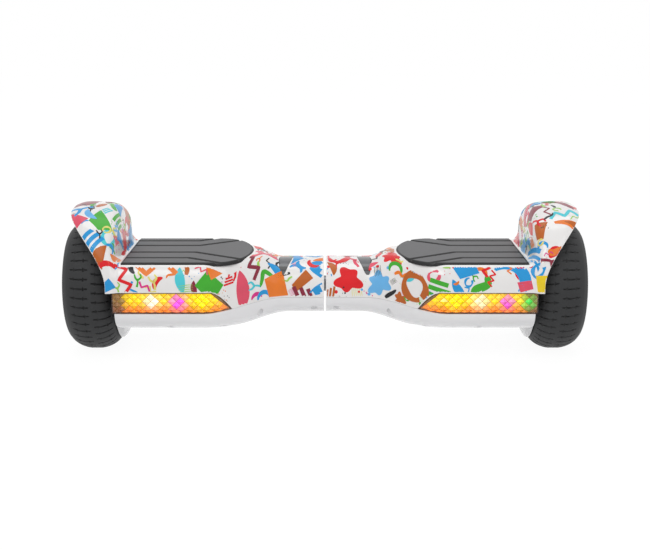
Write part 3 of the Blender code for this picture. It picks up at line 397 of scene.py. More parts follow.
def clear_lens():
    """Clear polycarbonate, IOR 1.585, thin enough to pass light almost straight through."""
    mat, tree, shader = new_material("clear_polycarbonate")
    see = node(tree, "ShaderNodeBsdfTransparent", Color=(0.96, 0.94, 0.92, 1))
    gloss = node(tree, "ShaderNodeBsdfGlossy", Roughness=0.05)
    edge = node(tree, "ShaderNodeLayerWeight", Blend=0.12)
    blend = blended(tree, edge.outputs["Facing"], see, gloss)
    mask = node(tree, "ShaderNodeAttribute", attribute_name="rim")
    feed(shader, {"Base Color": linear("4a3026"), "Roughness": 0.2})
    edged = blended(tree, mask.outputs["Fac"], blend, shader)
    feed(tree.nodes["Material Output"], {"Surface": edged.outputs[0]})
    return mat


def glow():
    """Lit facets: each face carries its own colour, from the lamps behind it."""
    mat, tree, shader = new_material("lit_facet_reflector")
    tint = node(tree, "ShaderNodeAttribute", attribute_name="glow").outputs["Color"]
    feed(shader, {"Base Color": tint, "Emission Color": tint, "Emission Strength": 0.92, "Roughness": 0.2})
    return mat


SMOKED = smoked()
CLEAR = clear_lens()
GLOW = glow()
INK = printed_ink()
# Copies of the pad and tyre rubbers with painted shade in their grooves and sipes, read from the mesh's
# groove attribute
PAD_GROOVE_SHADE = two_tone(PAD_RUBBER, "pad_moulded_rubber_grooved", "groove", "0b0b0c")
TYRE_SIPE_SHADE = two_tone(TYRE_RUBBER, "tyre_vulcanised_rubber_sipe_shade", "groove", "070708")

CAD_FINISH = {
    "frame": CAST_ALUMINIUM, "axle_clamp": CAST_ALUMINIUM, "heat_sink": CAST_ALUMINIUM, "axle": TURNED_STEEL,
    "centre_shaft": TURNED_STEEL, "shaft_clip": TURNED_STEEL, "shell_screw": TURNED_STEEL,
    "wheel_bearing": TURNED_STEEL, "battery_strap": TURNED_STEEL, "button_housing": TURNED_STEEL,
    "shaft_bushing": BRONZE, "stator": COPPER, "light_board": BOARD, "sensor_board": BOARD,
    "main_board": BOARD, "battery_pack": SHRINK_WRAP, "rim": BLACK_COAT, "wheel_cover": BLACK_COAT,
    "power_button": BLACK_ABS, "charge_socket": BLACK_ABS, "charge_cap": PAD_RUBBER, "pad_plunger": BLACK_ABS,
    "foot_pad": PAD_RUBBER, "tyre": TYRE_RUBBER, "top_shell": PRINT_BASE, "bottom_shell": WHITE_ABS,
    "light_lens": CLEAR, "light_reflector": GLOW, "turn_lens": SMOKED,
}


def dress_cad():
    for name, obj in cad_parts.items():
        key = max((k for k in CAD_FINISH if name.startswith(k)), key=len)
        obj.data.materials.clear()
        obj.data.materials.append(CAD_FINISH[key])


# ---- shell law, as the solids have it
# Shares of the way from seam to middle: end of the upright side, end of the shoulder, end of the lower corner
UPRIGHT, ROUNDED, CORNER = 0.18, 0.52, 0.75
ARCH_EXPONENT = 2.3


def half_depth(x):
    return mix(NECK_HALF_DEPTH, BODY_HALF_DEPTH, ease(x, NECK_END, DECK_START))


def seam_z(x):
    return mix(NECK_SEAM_Z, SEAM_Z, ease(x, NECK_END, DECK_START))


def upper_section(x, t):
    """Point (y, z) at x; t runs -1 front seam, 0 top, 1 back seam: upright, elliptic shoulder, flat deck."""
    s = 1 - np.abs(t)
    deep = half_depth(x)
    top = mix(AXLE_Z + NECK_HALF_HEIGHT, DECK_Z, ease(x, NECK_END + 3 * MM, PAD_TIP_X - 7 * MM))
    flat = mix(NECK_CROWN, BODY_HALF_DEPTH - SHOULDER_DEPTH, ease(x, NECK_END + 6 * MM, DECK_START - 8 * MM))
    flat = np.minimum(flat, deep - SHOULDER_DEPTH)
    start = mix(AXLE_Z, SHOULDER_Z, ease(x, NECK_END, DECK_START))
    angle = np.clip((s - UPRIGHT) / (ROUNDED - UPRIGHT), 0, 1) * math.pi / 2
    level = np.clip((s - ROUNDED) / (1 - ROUNDED), 0, 1)
    y = np.where(s < ROUNDED, flat + (deep - flat) * np.cos(angle), flat * (1 - level))
    z = np.where(s < UPRIGHT, mix(seam_z(x), start, s / UPRIGHT), start + (top - start) * np.sin(angle))
    return y * np.where(t < 0, -1, 1), z


def lower_bounds(x):
    """Half width of the flat floor, the floor's height and the seam's."""
    flat = mix(NECK_CROWN, BODY_HALF_DEPTH - SKIRT_DEPTH, ease(x, NECK_END, DECK_START))
    floor = mix(AXLE_Z - NECK_HALF_HEIGHT, FLOOR_Z, ease(x, NECK_END - 8 * MM, PAD_TIP_X + 20 * MM))
    return flat, floor, seam_z(x) - FIT


def lower_section(x, t):
    """Point (y, z) under the seam: an elliptic corner that rolls into a flat floor."""
    s = 1 - np.abs(t)
    flat, floor, seam = lower_bounds(x)
    angle = np.clip(s / CORNER, 0, 1) * math.pi / 2
    level = np.clip((s - CORNER) / (1 - CORNER), 0, 1)
    y = np.where(s < CORNER, flat + (half_depth(x) - flat) * np.cos(angle), flat * (1 - level))
    return y * np.where(t < 0, -1, 1), seam - (seam - floor) * np.sin(angle)


def lower_height(x, y):
    """Height of the lower shell's outer face at a place, from its section's law."""
    flat, floor, seam = lower_bounds(x)
    share = np.clip(np.abs(y) - flat, 0, None) / (half_depth(x) - flat)
    return seam - (seam - floor) * np.sqrt(np.clip(1 - share ** 2, 0, None))


def fender_edge(angle):
    return mix(FENDER_LOW_TIP, FENDER_TIP, ease(np.degrees(angle), 10, 75))


def arch_radius(angle):
    """Squarish ellipse round the axle, with the fender's half depth and its height as half axes."""
    a = np.abs(np.cos(angle)) / FENDER_HALF_DEPTH
    b = np.abs(np.sin(angle)) / (FENDER_HEIGHT - AXLE_Z)
    return (a ** ARCH_EXPONENT + b ** ARCH_EXPONENT) ** (-1 / ARCH_EXPONENT)


def shell_surface(body_rows, fender_rows, cols):
    """Outer skin of the right top shell as a grid: neck to deck, then up and over the wheel."""
    t = np.linspace(-1, 1, cols)[None, :]
    x = np.linspace(INNER_END_X, FENDER_FOOT, body_rows)[:, None]
    y, z = upper_section(x, t)
    body = np.stack([np.broadcast_to(x, y.shape), y, z], axis=-1)
    y0, z0 = upper_section(np.full((1, 1), FENDER_FOOT), t)
    angle = np.arctan2(z0 - AXLE_Z, np.abs(y0))
    radius = np.hypot(y0, z0 - AXLE_Z)
    path = spline(FENDER_PATH, fender_rows + 1)[1:]
    reach = np.clip(path[:, :1], 0, 1)
    rise = np.clip(path[:, 1:], 0, 1)
    even = (np.arange(1, fender_rows + 1) / fender_rows)[:, None]
    lowness = 1 - ease(np.degrees(angle), 15, 60)
    xf = mix(FENDER_FOOT, fender_edge(angle), mix(reach, even, lowness))
    swell = mix(radius, np.maximum(arch_radius(angle), radius), rise)
    swell = np.where(angle < 0, radius, swell)
    arch = np.stack([xf, y0 / radius * swell, AXLE_Z + (z0 - AXLE_Z) / radius * swell], axis=-1)
    return np.concatenate([body, arch])


def pad_half_depth(x, grow=0.0):
    """Half depth of the foot pad: full to its waist, then drawn in to a round tip."""
    tip = PAD_TIP_X - grow
    c = np.clip((PAD_WAIST_X - x) / (PAD_WAIST_X - tip), 0, 1) ** 1.25
    return (PAD_HALF_DEPTH + grow) * np.sqrt(np.clip(1 - c * c, 0, 1)) ** 1.1


def pad_outline(grow, count=28):
    deep = PAD_HALF_DEPTH + grow
    outer = PAD_OUTER_X + grow
    tip = PAD_TIP_X - grow
    angle = np.radians(np.linspace(88, 0, count))
    x = PAD_WAIST_X - (PAD_WAIST_X - tip) * np.cos(angle) ** 0.8
    y = -deep * np.sin(angle) ** 1.1
    half = [(outer, -deep), (PAD_WAIST_X, -deep)] + list(zip(x, y))
    return half + [(a, -b) for a, b in reversed(half[:-1])]


def light_start(z):
    """Inner end of the front light at height z: a rounded slant."""
    s = np.clip((SHOULDER_Z - z) / (SHOULDER_Z - SEAM_Z), 0, 1)
    return mix(LIGHT_INNER_TOP_X, LIGHT_INNER_LOW_X, s ** 0.6)


def light_outline(grow):
    z = np.linspace(SHOULDER_Z + grow, SEAM_Z - 6 * MM, 14)
    outline = [(LIGHT_OUTER_X + grow, SEAM_Z - 6 * MM), (LIGHT_OUTER_X + grow, SHOULDER_Z + grow)]
    return outline + [(float(light_start(h)) - grow, float(h)) for h in z]


def turn_lens_grid(offset, grow, rows=18, cols=9):
    """The shield on the neck's upper front: broad at the top, pointed below."""
    t = np.linspace(0, 1, rows)[:, None]
    angle = mix(math.radians(96) + grow * 20, math.radians(33) - grow * 20, t)
    centre = mix(49 * MM, 54 * MM, t)
    point = np.sqrt(1 - 0.9 * np.clip((t - 0.8) / 0.2, 0, 1) ** 2)
    wide = 8 * MM * (1 - 0.55 * ease(t, 0.3, 1)) * point + grow
    x = centre + wide * np.linspace(-1, 1, cols)[None, :]
    deep = half_depth(x) + offset
    tall = mix(NECK_HALF_HEIGHT, DECK_Z - AXLE_Z, ease(x, NECK_END + 3 * MM, PAD_TIP_X - 7 * MM)) + offset
    return np.stack([x, -deep * np.cos(angle), AXLE_Z + tall * np.sin(angle)], axis=-1)


def box_cutter(name, x0, x1, y0, y1, z0, z1):
    return prism(name, [(x0, y0), (x1, y0), (x1, y1), (x0, y1)], "Z", z0, z1)


def disc_cutter(name, x, y, z, radius, depth, axis):
    """A round cutter along Y or Z, centred at a place."""
    angle = round_angles(DISC_POINTS)
    u = x + radius * np.cos(angle)
    v = (z if axis == "Y" else y) + radius * np.sin(angle)
    level = y if axis == "Y" else z
    return prism(name, list(zip(u, v)), axis, level - depth, level + depth)


DISC_POINTS = 28
END_T = np.linspace(-0.99, 0.99, 60)      # the end plates' places round a section
SKIN_COUNTS = (90, 70, 121)       # rows on the body, rows on the fender, points round
TIP_TRIM = 0.985                  # the end plates' outline against the shell's
LENS_POCKET = (4 * MM, -1.8 * MM)
# Holes at the back of the right half: name, distance from the middle, radius
BACK_HOLES = (("button_hole", 150 * MM, 9.8 * MM), ("socket_hole", 190 * MM, 8.3 * MM))
BACK_HOLE_Z = 79 * MM
BACK_HOLE_DEPTH = 8 * MM


def drawn_in(section, level):
    """A section's outline, drawn in a little towards its middle at a level."""
    middle = np.array([0.0, level])
    return middle + (np.column_stack(section) - middle) * TIP_TRIM


def plate_rings(section):
    return [[(x, *p) for p in section] for x in (END_X - WALL, END_X)]


def top_shells():
    outer = SKIN_GRID
    inner = outer - unit_normals(outer) * WALL
    inner[0, :, 0] = outer[0, :, 0]
    shell = wall("top_shell_skin_right", outer, inner, PRINT_BASE)
    section = drawn_in(upper_section(FENDER_FOOT, END_T), AXLE_Z)
    section[section[:, 1] > DECK_Z - 2 * MM, 1] = DECK_Z + WALL
    combine(shell, [carried("end_plate", plate_rings(section))], "UNION")
    reach = 2 * FENDER_HALF_DEPTH
    trim = box_cutter("trim", END_X + FIT, FENDER_TIP + WALL, -reach, reach, 0, SHOULDER_Z)
    window = prism("window", light_outline(FIT), "Y", -reach, -BODY_HALF_DEPTH + 28 * MM)
    pocket = prism("pocket", pad_outline(0.5 * MM), "Z", DECK_Z - 3.8 * MM, FENDER_HEIGHT)
    lens = wall("lens_pocket", *(turn_lens_grid(offset, FIT) for offset in LENS_POCKET), PRINT_BASE)
    combine(shell, [trim, window, pocket, lens])
    slot = box_cutter("slot", END_X - 2 * WALL, END_X + WALL, -12 * MM, 12 * MM, 0, AXLE_Z)
    combine(shell, [slot])
    left = mirrored_copy(shell, "top_shell_skin_left")
    combine(shell, [disc_cutter(name, x, BODY_HALF_DEPTH, BACK_HOLE_Z, radius, BACK_HOLE_DEPTH, "Y")
                    for name, x, radius in BACK_HOLES])
    settle({"left": left, "right": shell}, "{}_half", "top_shell")


# Screw recesses under the shell: distance from the middle, distance from the centre plane
RECESSES = ((14, 32), (82, 44), (126, 61.5), (190, 72), (243, 63))
RECESS_RADIUS = 3.9 * MM
RECESS_DEPTH = 7.5 * MM
RECESS_WALL = 1.2 * MM
RECESS_CUT = 15 * MM


def bottom_shells():
    t = np.linspace(-1, 1, 91)[None, :]
    x = np.linspace(INNER_END_X, END_X, 110)[:, None]
    y, z = lower_section(x, t)
    outer = np.stack([np.broadcast_to(x, y.shape), y, z], axis=-1)
    inner = outer - unit_normals(outer) * WALL
    inner[[0, -1], :, 0] = outer[[0, -1], :, 0]
    inner[:, [0, -1], 2] = outer[:, [0, -1], 2]
    shell = wall("bottom_shell_skin_right", outer, inner, WHITE_ABS)
    plate = plate_rings(drawn_in(lower_section(END_X, END_T), SEAM_Z))
    apron = []
    for f in np.linspace(0, 1, 9):
        radius = mix(APRON_RADIUS, APRON_LIP_RADIUS, 1 - (1 - f) ** 2)
        drop = math.acos((AXLE_Z - SEAM_Z + WALL) / radius)
        angle = np.linspace(-drop, drop, 91)
        apron.append(np.column_stack([np.full(91, mix(END_X - WALL, APRON_LIP_X, f)), radius * np.sin(angle),
                                      AXLE_Z - radius * np.cos(angle)]))
    for number, rings in enumerate((plate, apron)):
        combine(shell, [carried(f"apron_plate_{number}", rings)], "UNION")
    holes, posts = [], []
    turn = round_angles(DISC_POINTS)
    for along, across in RECESSES:
        for sign in (-1, 1):
            x, y = along * MM, sign * across * MM
            u = x + (RECESS_RADIUS + RECESS_WALL) * np.cos(turn)
            v = y + (RECESS_RADIUS + RECESS_WALL) * np.sin(turn)
            roof = float(lower_height(x, y)) + RECESS_DEPTH
            foot = np.column_stack([u, v, lower_height(u, v) + WALL / 2])
            head = np.column_stack([u, v, u * 0 + roof + 1.5 * MM])
            posts.append(carried(f"post_{along}_{sign}", [foot, head]))
            holes.append(disc_cutter(f"recess_{along}_{sign}", x, y, roof - RECESS_CUT, RECESS_RADIUS,
                                     RECESS_CUT, "Z"))
    combine(shell, posts, "UNION")
    combine(shell, holes)
    left = mirrored_copy(shell, "bottom_shell_skin_left")
    settle({"left": left, "right": shell}, "{}_half", "bottom_shell")


# ---- thin closed films and relief
def film(name, points, inner, faces, mat, flat=False):
    """Closes an open sheet with its inner copy: both faces, and quads along each open edge."""
    faces = np.asarray(faces)
    count = len(points)
    a = faces.ravel()
    b = np.roll(faces, -1, axis=1).ravel()
    keep = a != b
    a, b = a[keep], b[keep]
    seen = set((b.astype(np.int64) * count + a).tolist())
    open_edge = np.array([k not in seen for k in (a.astype(np.int64) * count + b).tolist()])
    a, b = a[open_edge], b[open_edge]
    edge = np.stack([b, a, count + a, count + b], axis=-1)
    back = faces[:, ::-1] + count
    quads = [tuple(dict.fromkeys(f)) for f in faces.tolist() + back.tolist() + edge.tolist()]
    return mesh_object(name, np.concatenate([points, inner]), quads, mat, smooth=not flat)


def paint(obj, name, values, kind="FLOAT"):
    """Keeps one number or colour a vertex on the mesh, for its material to read."""
    data = np.asarray(values, dtype=float)
    layer = obj.data.attributes.new(name, "FLOAT_COLOR" if kind == "COLOR" else "FLOAT", "POINT")
    if kind == "COLOR":
        layer.data.foreach_set("color", np.column_stack([data, np.ones(len(data))]).ravel())
    else:
        layer.data.foreach_set("value", data.ravel())


def segment_distance(points, a, b):
    """Distance of many (x, y) points from the segment a to b."""
    a, b = np.asarray(a, dtype=float), np.asarray(b, dtype=float)
    along = np.clip(((points - a) @ (b - a)) / ((b - a) @ (b - a) + 1e-12), 0, 1)
    return np.linalg.norm(points - a - along[..., None] * (b - a), axis=-1)


def line_distance(points, line):
    return np.min([segment_distance(points, a, b) for a, b in zip(line[:-1], line[1:])], axis=0)


# ---- foot pads
# Routes of the grooves on the right pad, x and y in mm: straight, then spread towards the tip
GROOVES = (((260, 59), (167, 59), (136, 84)), ((260, 28.3), (163, 28.3), (106, 69)),
           ((260, -14), (165, -14), (96, -62)), ((260, -48), (170, -48), (128, -77)))
GROOVE_HALF_WIDTH = 3.2 * MM
GROOVE_DEPTH = 1.6 * MM


def foot_pads():
    """Moulded mat: flat top with four cut grooves and a rounded lip; painted shade darkens the grooves, a
    band along the edge and the side walls.
    """
    rows, cols = 120, 132
    x = PAD_TIP_X + (PAD_OUTER_X - PAD_TIP_X) * np.linspace(0, 1, rows)[:, None] ** 1.25
    x[0] += 0.15 * MM
    t = np.linspace(-1, 1, cols)[None, :]
    y = pad_half_depth(x) * t
    flat = np.stack([np.broadcast_to(x, y.shape), y], axis=-1)
    outline = np.array(pad_outline(0.0, 60))
    edge = line_distance(flat, np.vstack([outline, outline[:1]]))
    cut, groove_shade = np.zeros_like(y), np.zeros_like(y)
    for route in GROOVES:
        away = line_distance(flat, np.array(route) * MM)
        cut = np.maximum(cut, 1 - ease(away, GROOVE_HALF_WIDTH * 0.6, GROOVE_HALF_WIDTH))
        # painted shade: a dark mask a little wider than each cut, so that the groove's walls are dark too
        groove_shade = np.maximum(groove_shade, 1 - ease(away, GROOVE_HALF_WIDTH * 1.1, GROOVE_HALF_WIDTH * 1.4))
    lip = 1.6 * MM
    sink = lip - np.sqrt(np.clip(lip ** 2 - np.clip(lip - edge, 0, lip) ** 2, 0, None))
    z = PAD_TOP - cut * GROOVE_DEPTH - 0.9 * sink
    # painted shade along the pad's edge, in a band 1 to 2.6 mm in, joined to the grooves' painted shade
    dark = np.maximum(groove_shade, 1 - ease(edge, 1.0 * MM, 2.6 * MM))
    top = np.stack([flat[..., 0], flat[..., 1], z], axis=-1)
    under = top.copy()
    under[..., 2] = PAD_BOTTOM
    right = wall("pad_mat_right", top, under, PAD_GROOVE_SHADE, sharp=50)
    # the top's painted shade, with the side walls and underside painted wholly dark as shade
    paint(right, "groove", np.concatenate([dark.ravel(), np.ones(dark.size)]))
    left = mirrored_copy(right, "pad_mat_left")
    settle({"left": left, "right": right}, "pad_{}", "foot_pad")


# ---- wheels
# Half of the tyre's section: share of its half width, share of its height over the rim
TREAD_SHAPE = ((0.94, 0.0), (1.0, 0.3), (0.97, 0.43), (0.90, 0.55), (0.76, 0.73), (0.52, 0.90), (0.2, 1.0))


def tyres():
    """Round-shouldered tyre with two columns of cross sipes, half a pitch apart, each with two ticks."""
    seat = RIM_RADIUS + FIT
    rise = TYRE_RADIUS - seat
    wide = TYRE_OUTER_X - TYRE_INNER_X
    half = [(wide / 2 * (1 - w), seat + h * rise) for w, h in TREAD_SHAPE]
    curve = half + [(wide - x, r) for x, r in reversed(half)]
    p = spline(curve, 900)
    length = np.concatenate([[0], np.cumsum(np.linalg.norm(np.diff(p, axis=0), axis=1))])
    even = np.linspace(0, length[-1], 118)
    p = np.column_stack([np.interp(even, length, p[:, 0]), np.interp(even, length, p[:, 1])])
    p[:, 1] = np.minimum(p[:, 1], TYRE_RADIUS)
    normal = np.column_stack([-np.gradient(p[:, 1]), np.gradient(p[:, 0])])
    normal /= np.linalg.norm(normal, axis=1, keepdims=True)
    count, around = 44, 704
    angle = round_angles(around)
    pitch = 2 * math.pi * TYRE_RADIUS / count
    arc = angle[None, :] * TYRE_RADIUS
    x = p[:, :1]
    cut = np.zeros((len(p), around))
    for start, end, shift in ((4.5 * MM, 24 * MM, 0.0), (30 * MM, 51 * MM, 0.5)):
        middle = (start + end) / 2
        bow = 0.004 * ((x - middle) / MM) ** 2 * MM + 0.05 * (x - middle)
        across = (arc + bow + shift * pitch) % pitch - pitch / 2
        inside = ease(x, start - 1 * MM, start) * (1 - ease(x, end, end + 1 * MM))
        cut = np.maximum(cut, inside * (1 - ease(np.abs(across), 0.35 * MM, 1.0 * MM)))
        for tick in (start + 4.5 * MM, end - 4.5 * MM):
            mark = 1 - ease(np.abs(x - tick), 0.3 * MM, 0.9 * MM)
            cut = np.maximum(cut, mark * (1 - ease(np.abs(across), 1.8 * MM, 2.5 * MM)))
    depth = 1.3 * MM * cut
    radius = x * 0 + p[:, 1:2] - depth * normal[:, 1:2]
    along = TYRE_INNER_X + x - depth * normal[:, :1]
    bore = np.linspace(0, 1, 4)[1:-1, None]
    along = np.concatenate([along, np.broadcast_to(TYRE_INNER_X + mix(p[-1, 0], p[0, 0], bore), (2, around))])
    radius = np.concatenate([radius, np.full((2, around), seat)])
    cut = np.concatenate([cut, np.zeros((2, around))])
    right = closed_rings("tyre_tread_right", turned(along, radius, angle), TYRE_SIPE_SHADE, sharp=60)
    # painted shade: the sipes and their ticks darkened by their cut depth
    paint(right, "groove", cut)
    left = mirrored_copy(right, "tyre_tread_left")
    settle({"left": left, "right": right}, "wheel_{}", "tyre")


SPOKES = 9


def hubs():
    """Wheel cover: a dished disc with nine sunk windows, and the rim's turned lip round it."""
    lip = high("rim_right", 0)
    edge = RIM_RADIUS - 3.8 * MM
    back = lip - 4 * MM
    rings, around = 46, 216
    r = np.linspace(0.4 * MM, edge, rings)[:, None]
    angle = round_angles(around)
    spoke = np.abs((angle / (2 * math.pi) * SPOKES) % 1 - 0.5) * 2 * (2 * math.pi * r / SPOKES)
    window = ease(spoke, 5 * MM, 8 * MM) * ease(r, 19 * MM, 22 * MM)
    window = window * (1 - ease(r, edge - 8 * MM, edge - 5 * MM))
    dome = 1.2 * MM * (1 - (r / edge) ** 2) * ease(r, 12 * MM, 16 * MM)
    face = lip - 1.2 * MM + dome - 2.2 * MM * window - 0.8 * MM * ease(r, edge - 1 * MM, edge)
    face = np.broadcast_to(face, (rings, around))
    radius = np.broadcast_to(r, (rings, around))
    along = np.concatenate([face, np.full((2, around), back)])
    radius = np.concatenate([radius, np.full((1, around), edge), np.full((1, around), 0.4 * MM)])
    cover = closed_rings("hub_cover_right", turned(along, radius, angle), BLACK_COAT, sharp=40)
    profile = [(lip, RIM_RADIUS), (lip - 0.8 * MM, RIM_RADIUS - 0.1 * MM),
               (back - 6 * MM, RIM_RADIUS - 0.1 * MM), (back - 6 * MM, RIM_RADIUS - 6 * MM),
               (back - 0.3 * MM, RIM_RADIUS - 6 * MM),
               (back - 0.3 * MM, edge + 0.3 * MM), (lip - 0.6 * MM, edge + 0.3 * MM), (lip, edge + 1 * MM)]
    band = ring("rim_lip_right", profile, CAST_ALUMINIUM, segments=160)
    for piece, gone in ((cover, "wheel_cover"), (band, None)):
        other = mirrored_copy(piece, piece.name.replace("right", "left"))
        settle({"right": piece, "left": other}, "wheel_{}", gone)


# ---- front lights
FACET_WIDTH = 10.4 * MM
FACET_HEIGHT = 10.0 * MM
FACET_SINK = 2.4 * MM            # a facet's middle stands out this far from its corners
# Places in half facets; every second one is used
FACET_COLUMNS, FACET_ROWS = range(19, 54), range(13, 20)
FACET_FILL = 0.94               # each facet's share of its cell; the dark tray shows between
LENS_WALL = 2.5 * MM
# Lamps behind the facets: distance from the middle, height, colour, spread, for each side
LAMPS = {"left": ((212, 80, "ffffee", 7.0), (180, 79, "f25cf0", 8.0), (150, 80, "fff000", 9.0)),
         "right": ((190, 80, "fffbd0", 8.0), (223, 79, "f060e0", 7.0), (249, 79, "50e058", 7.0),
                   (160, 80, "fff000", 9.0))}
LAMP_SEEDS = {"left": 11, "right": 12}
WHIMS = 4000                    # random numbers drawn for a light, more than it has facets
FACET_PAINTED_SHADE = np.array((1.0, 0.84, 0.58, 0.76))      # painted light and shade of a facet's faces, as if lit from the upper left: upper left, upper right, lower right, lower left


def lamp_colours(centres, kinds, cell, side, rng):
    """Colour of each facet: yellow above, orange below, brown at both ends, bright by each lamp, with painted
    glints on some upper faces and painted light and shade on each face by its slope.
    """
    x, z = centres[:, 0], centres[:, 1]
    height = (z - SEAM_Z) / (SHOULDER_Z - SEAM_Z)
    yellow, orange = np.array(linear("ffdf12")[:3]), np.array(linear("f28a2c")[:3])
    pale, brown = np.array(linear("fff2a0")[:3]), np.array(linear("6a4a3c")[:3])
    whim = rng.normal(0, 1, WHIMS)[cell]
    colour = mix(yellow, orange, np.clip(1 - ease(height, 0.22, 0.46) + 0.08 * whim, 0, 1)[:, None])
    # painted glints: a pale colour on the upper faces of about one facet in five
    painted_glint = (rng.random(WHIMS)[cell] < 0.2) & (kinds < 2) & (height > 0.4)
    colour = np.where(painted_glint[:, None], mix(colour, pale, 0.8), colour)
    end = np.maximum(ease(x, LIGHT_OUTER_X - 20 * MM, LIGHT_OUTER_X - 9 * MM),
                     1 - ease(x, light_start(z) + 3 * MM, light_start(z) + 9 * MM))
    colour = mix(colour, brown, (0.9 * end)[:, None])
    for place, level, code, spread in LAMPS[side]:
        near = np.exp(-((x - place * MM) ** 2 + (z - level * MM) ** 2) / (spread * MM) ** 2)
        colour = mix(colour, np.array(linear(code)[:3]), np.clip(1.4 * near, 0, 1)[:, None])
    # painted light and shade by each face's slope, and a little random tone
    return colour * (FACET_PAINTED_SHADE[kinds] * (1 + 0.06 * whim))[:, None]


def light_grid(rows, cols):
    """Places x and z over the light's window, and where each row starts."""
    z = mix(SEAM_Z + FIT, SHOULDER_Z - FIT, np.linspace(0, 1, rows)[:, None])
    start = light_start(z) + 2 * FIT
    x = mix(start, LIGHT_OUTER_X - FIT, np.linspace(0, 1, cols)[None, :])
    return x, np.maximum(z, seam_z(x) + FIT), start


def front_lights():
    for who, side in SIDES.items():
        rng = np.random.default_rng(LAMP_SEEDS[who])
        points, faces, kinds = [], [], []
        lowest, highest = SEAM_Z + 0.8 * MM, SHOULDER_Z - 0.6 * MM
        wide, tall = FACET_FILL * FACET_WIDTH / 2, FACET_FILL * FACET_HEIGHT / 2
        for i in FACET_COLUMNS:
            for j in FACET_ROWS:
                if (i + j) % 2:
                    continue
                cx, cz = i * FACET_WIDTH / 2, j * FACET_HEIGHT / 2
                corners = [(cx - wide, cz), (cx, cz + tall), (cx + wide, cz), (cx, cz - tall)]
                ring_points = [(cx, cz, 0.0)] + [(a, b, FACET_SINK) for a, b in corners]
                placed = []
                for a, b, sink in ring_points:
                    b = min(max(b, lowest), highest)
                    a = min(max(a, float(light_start(b)) + 0.6 * MM), LIGHT_OUTER_X - 0.8 * MM)
                    b = max(b, float(seam_z(a)) + 0.6 * MM)
                    placed.append((a, b, sink))
                base = len(points)
                points += placed
                for kind, (m, n) in enumerate(((1, 2), (2, 3), (3, 4), (4, 1))):
                    u = np.array([placed[0][:2], placed[m][:2], placed[n][:2]])
                    area = abs(np.linalg.det(np.array([u[1] - u[0], u[2] - u[0]]))) / 2
                    if area > 0.4 * MM * MM:
                        faces.append([base, base + m, base + n])
                        kinds.append(kind)
        p = np.array(points)
        faces = np.array(faces)
        kinds = np.array(kinds)
        colour = lamp_colours(p[faces[:, 0]][:, :2], kinds, faces[:, 0] // 5, who, rng)
        y = LENS_WALL + 0.9 * MM + p[:, 2] - half_depth(p[:, 0])
        front = np.column_stack([p[:, 0], y, p[:, 1]])
        corner = front[faces].reshape(-1, 3)
        order = np.arange(len(corner)).reshape(-1, 3)
        back = corner + np.array([0, 1.2 * MM, 0])
        if side < 0:
            corner, back = corner * MIRROR, back * MIRROR
        facing = np.cross(corner[1::3] - corner[::3], corner[2::3] - corner[::3])[:, 1]
        order = np.where((facing > 0)[:, None], order[:, ::-1], order)
        chrome = film(f"lamp_facets_{who}", corner, back, order, GLOW, flat=True)
        paint(chrome, "glow", np.tile(np.repeat(colour, 3, axis=0), (2, 1)), "COLOR")
        settle({who: chrome}, "{}_half", "light_reflector")

        x, z, start = light_grid(12, 40)
        y = LENS_WALL + 3.6 * MM - half_depth(x)
        flip = np.array([side, 1, 1])
        tray = wall(f"lamp_tray_{who}", np.stack([x, y, z], axis=-1) * flip,
                    np.stack([x, y + 1 * MM, z], axis=-1) * flip, GLOW)
        paint(tray, "glow", np.tile(linear("7a4a1a")[:3], (2 * x.size, 1)), "COLOR")
        settle({who: tray}, "{}_half", None)

        x, z, start = light_grid(25, 75)
        border = np.minimum(np.minimum(z - SEAM_Z, SHOULDER_Z - z), np.minimum(x - start, LIGHT_OUTER_X - x))
        round_over = 0.8 * MM * (1 - ease(border, 0, 1.6 * MM))
        outer = np.stack([x, round_over - half_depth(x) - 0.1 * MM, z], axis=-1)
        inner = np.stack([x, LENS_WALL - half_depth(x), z], axis=-1)
        lens = wall(f"lamp_lens_{who}", outer * flip, inner * flip, CLEAR)
        paint(lens, "rim", np.tile((1 - ease(border, 0.5 * MM, 1.1 * MM)).ravel(), 2))
        settle({who: lens}, "{}_half", "light_lens")


def turn_lenses():
    """Smoked shield on the neck, with a dark band across its lower third and a dark hairline edge."""
    rows, cols = 48, 25
    outer, inner = turn_lens_grid(0.4 * MM, 0.0, rows, cols), turn_lens_grid(-1.5 * MM, 0.0, rows, cols)
    t = np.linspace(0, 1, rows)[:, None]
    s = np.abs(np.linspace(-1, 1, cols))[None, :]
    band = ease(t, 0.68, 0.71) * (1 - ease(t, 0.84, 0.88))
    band = np.maximum(np.broadcast_to(band, (rows, cols)), ease(s, 0.88, 0.96) * 0.8)
    right = wall("turn_shield_right", outer, inner, SMOKED)
    paint(right, "band", np.tile(band.ravel(), 2))
    left = mirrored_copy(right, "turn_shield_left")
    settle({"left": left, "right": right}, "{}_half", "turn_lens")


# ---- printed pattern
INKS = {"red": "e5121d", "rose": "e8506a", "sky": "1f9bde", "pale_sky": "6cb8ee", "cyan": "4fd0dc",
        "green": "3fb02a", "leaf": "9fd35a", "yellow": "f2d21c", "straw": "e9df7a", "orange": "f07d22",
        "brown": "c0621a", "maroon": "8a1f38", "black": "17171a", "magenta": "e0308c"}
# A colour or motif that stands twice in its list is thrown twice as often
BOLD = ("red", "sky", "rose", "green", "orange", "pale_sky", "cyan", "maroon", "yellow", "red", "sky",
        "brown")
FINE = ("black", "magenta", "red", "green", "black", "sky", "orange", "straw", "leaf")


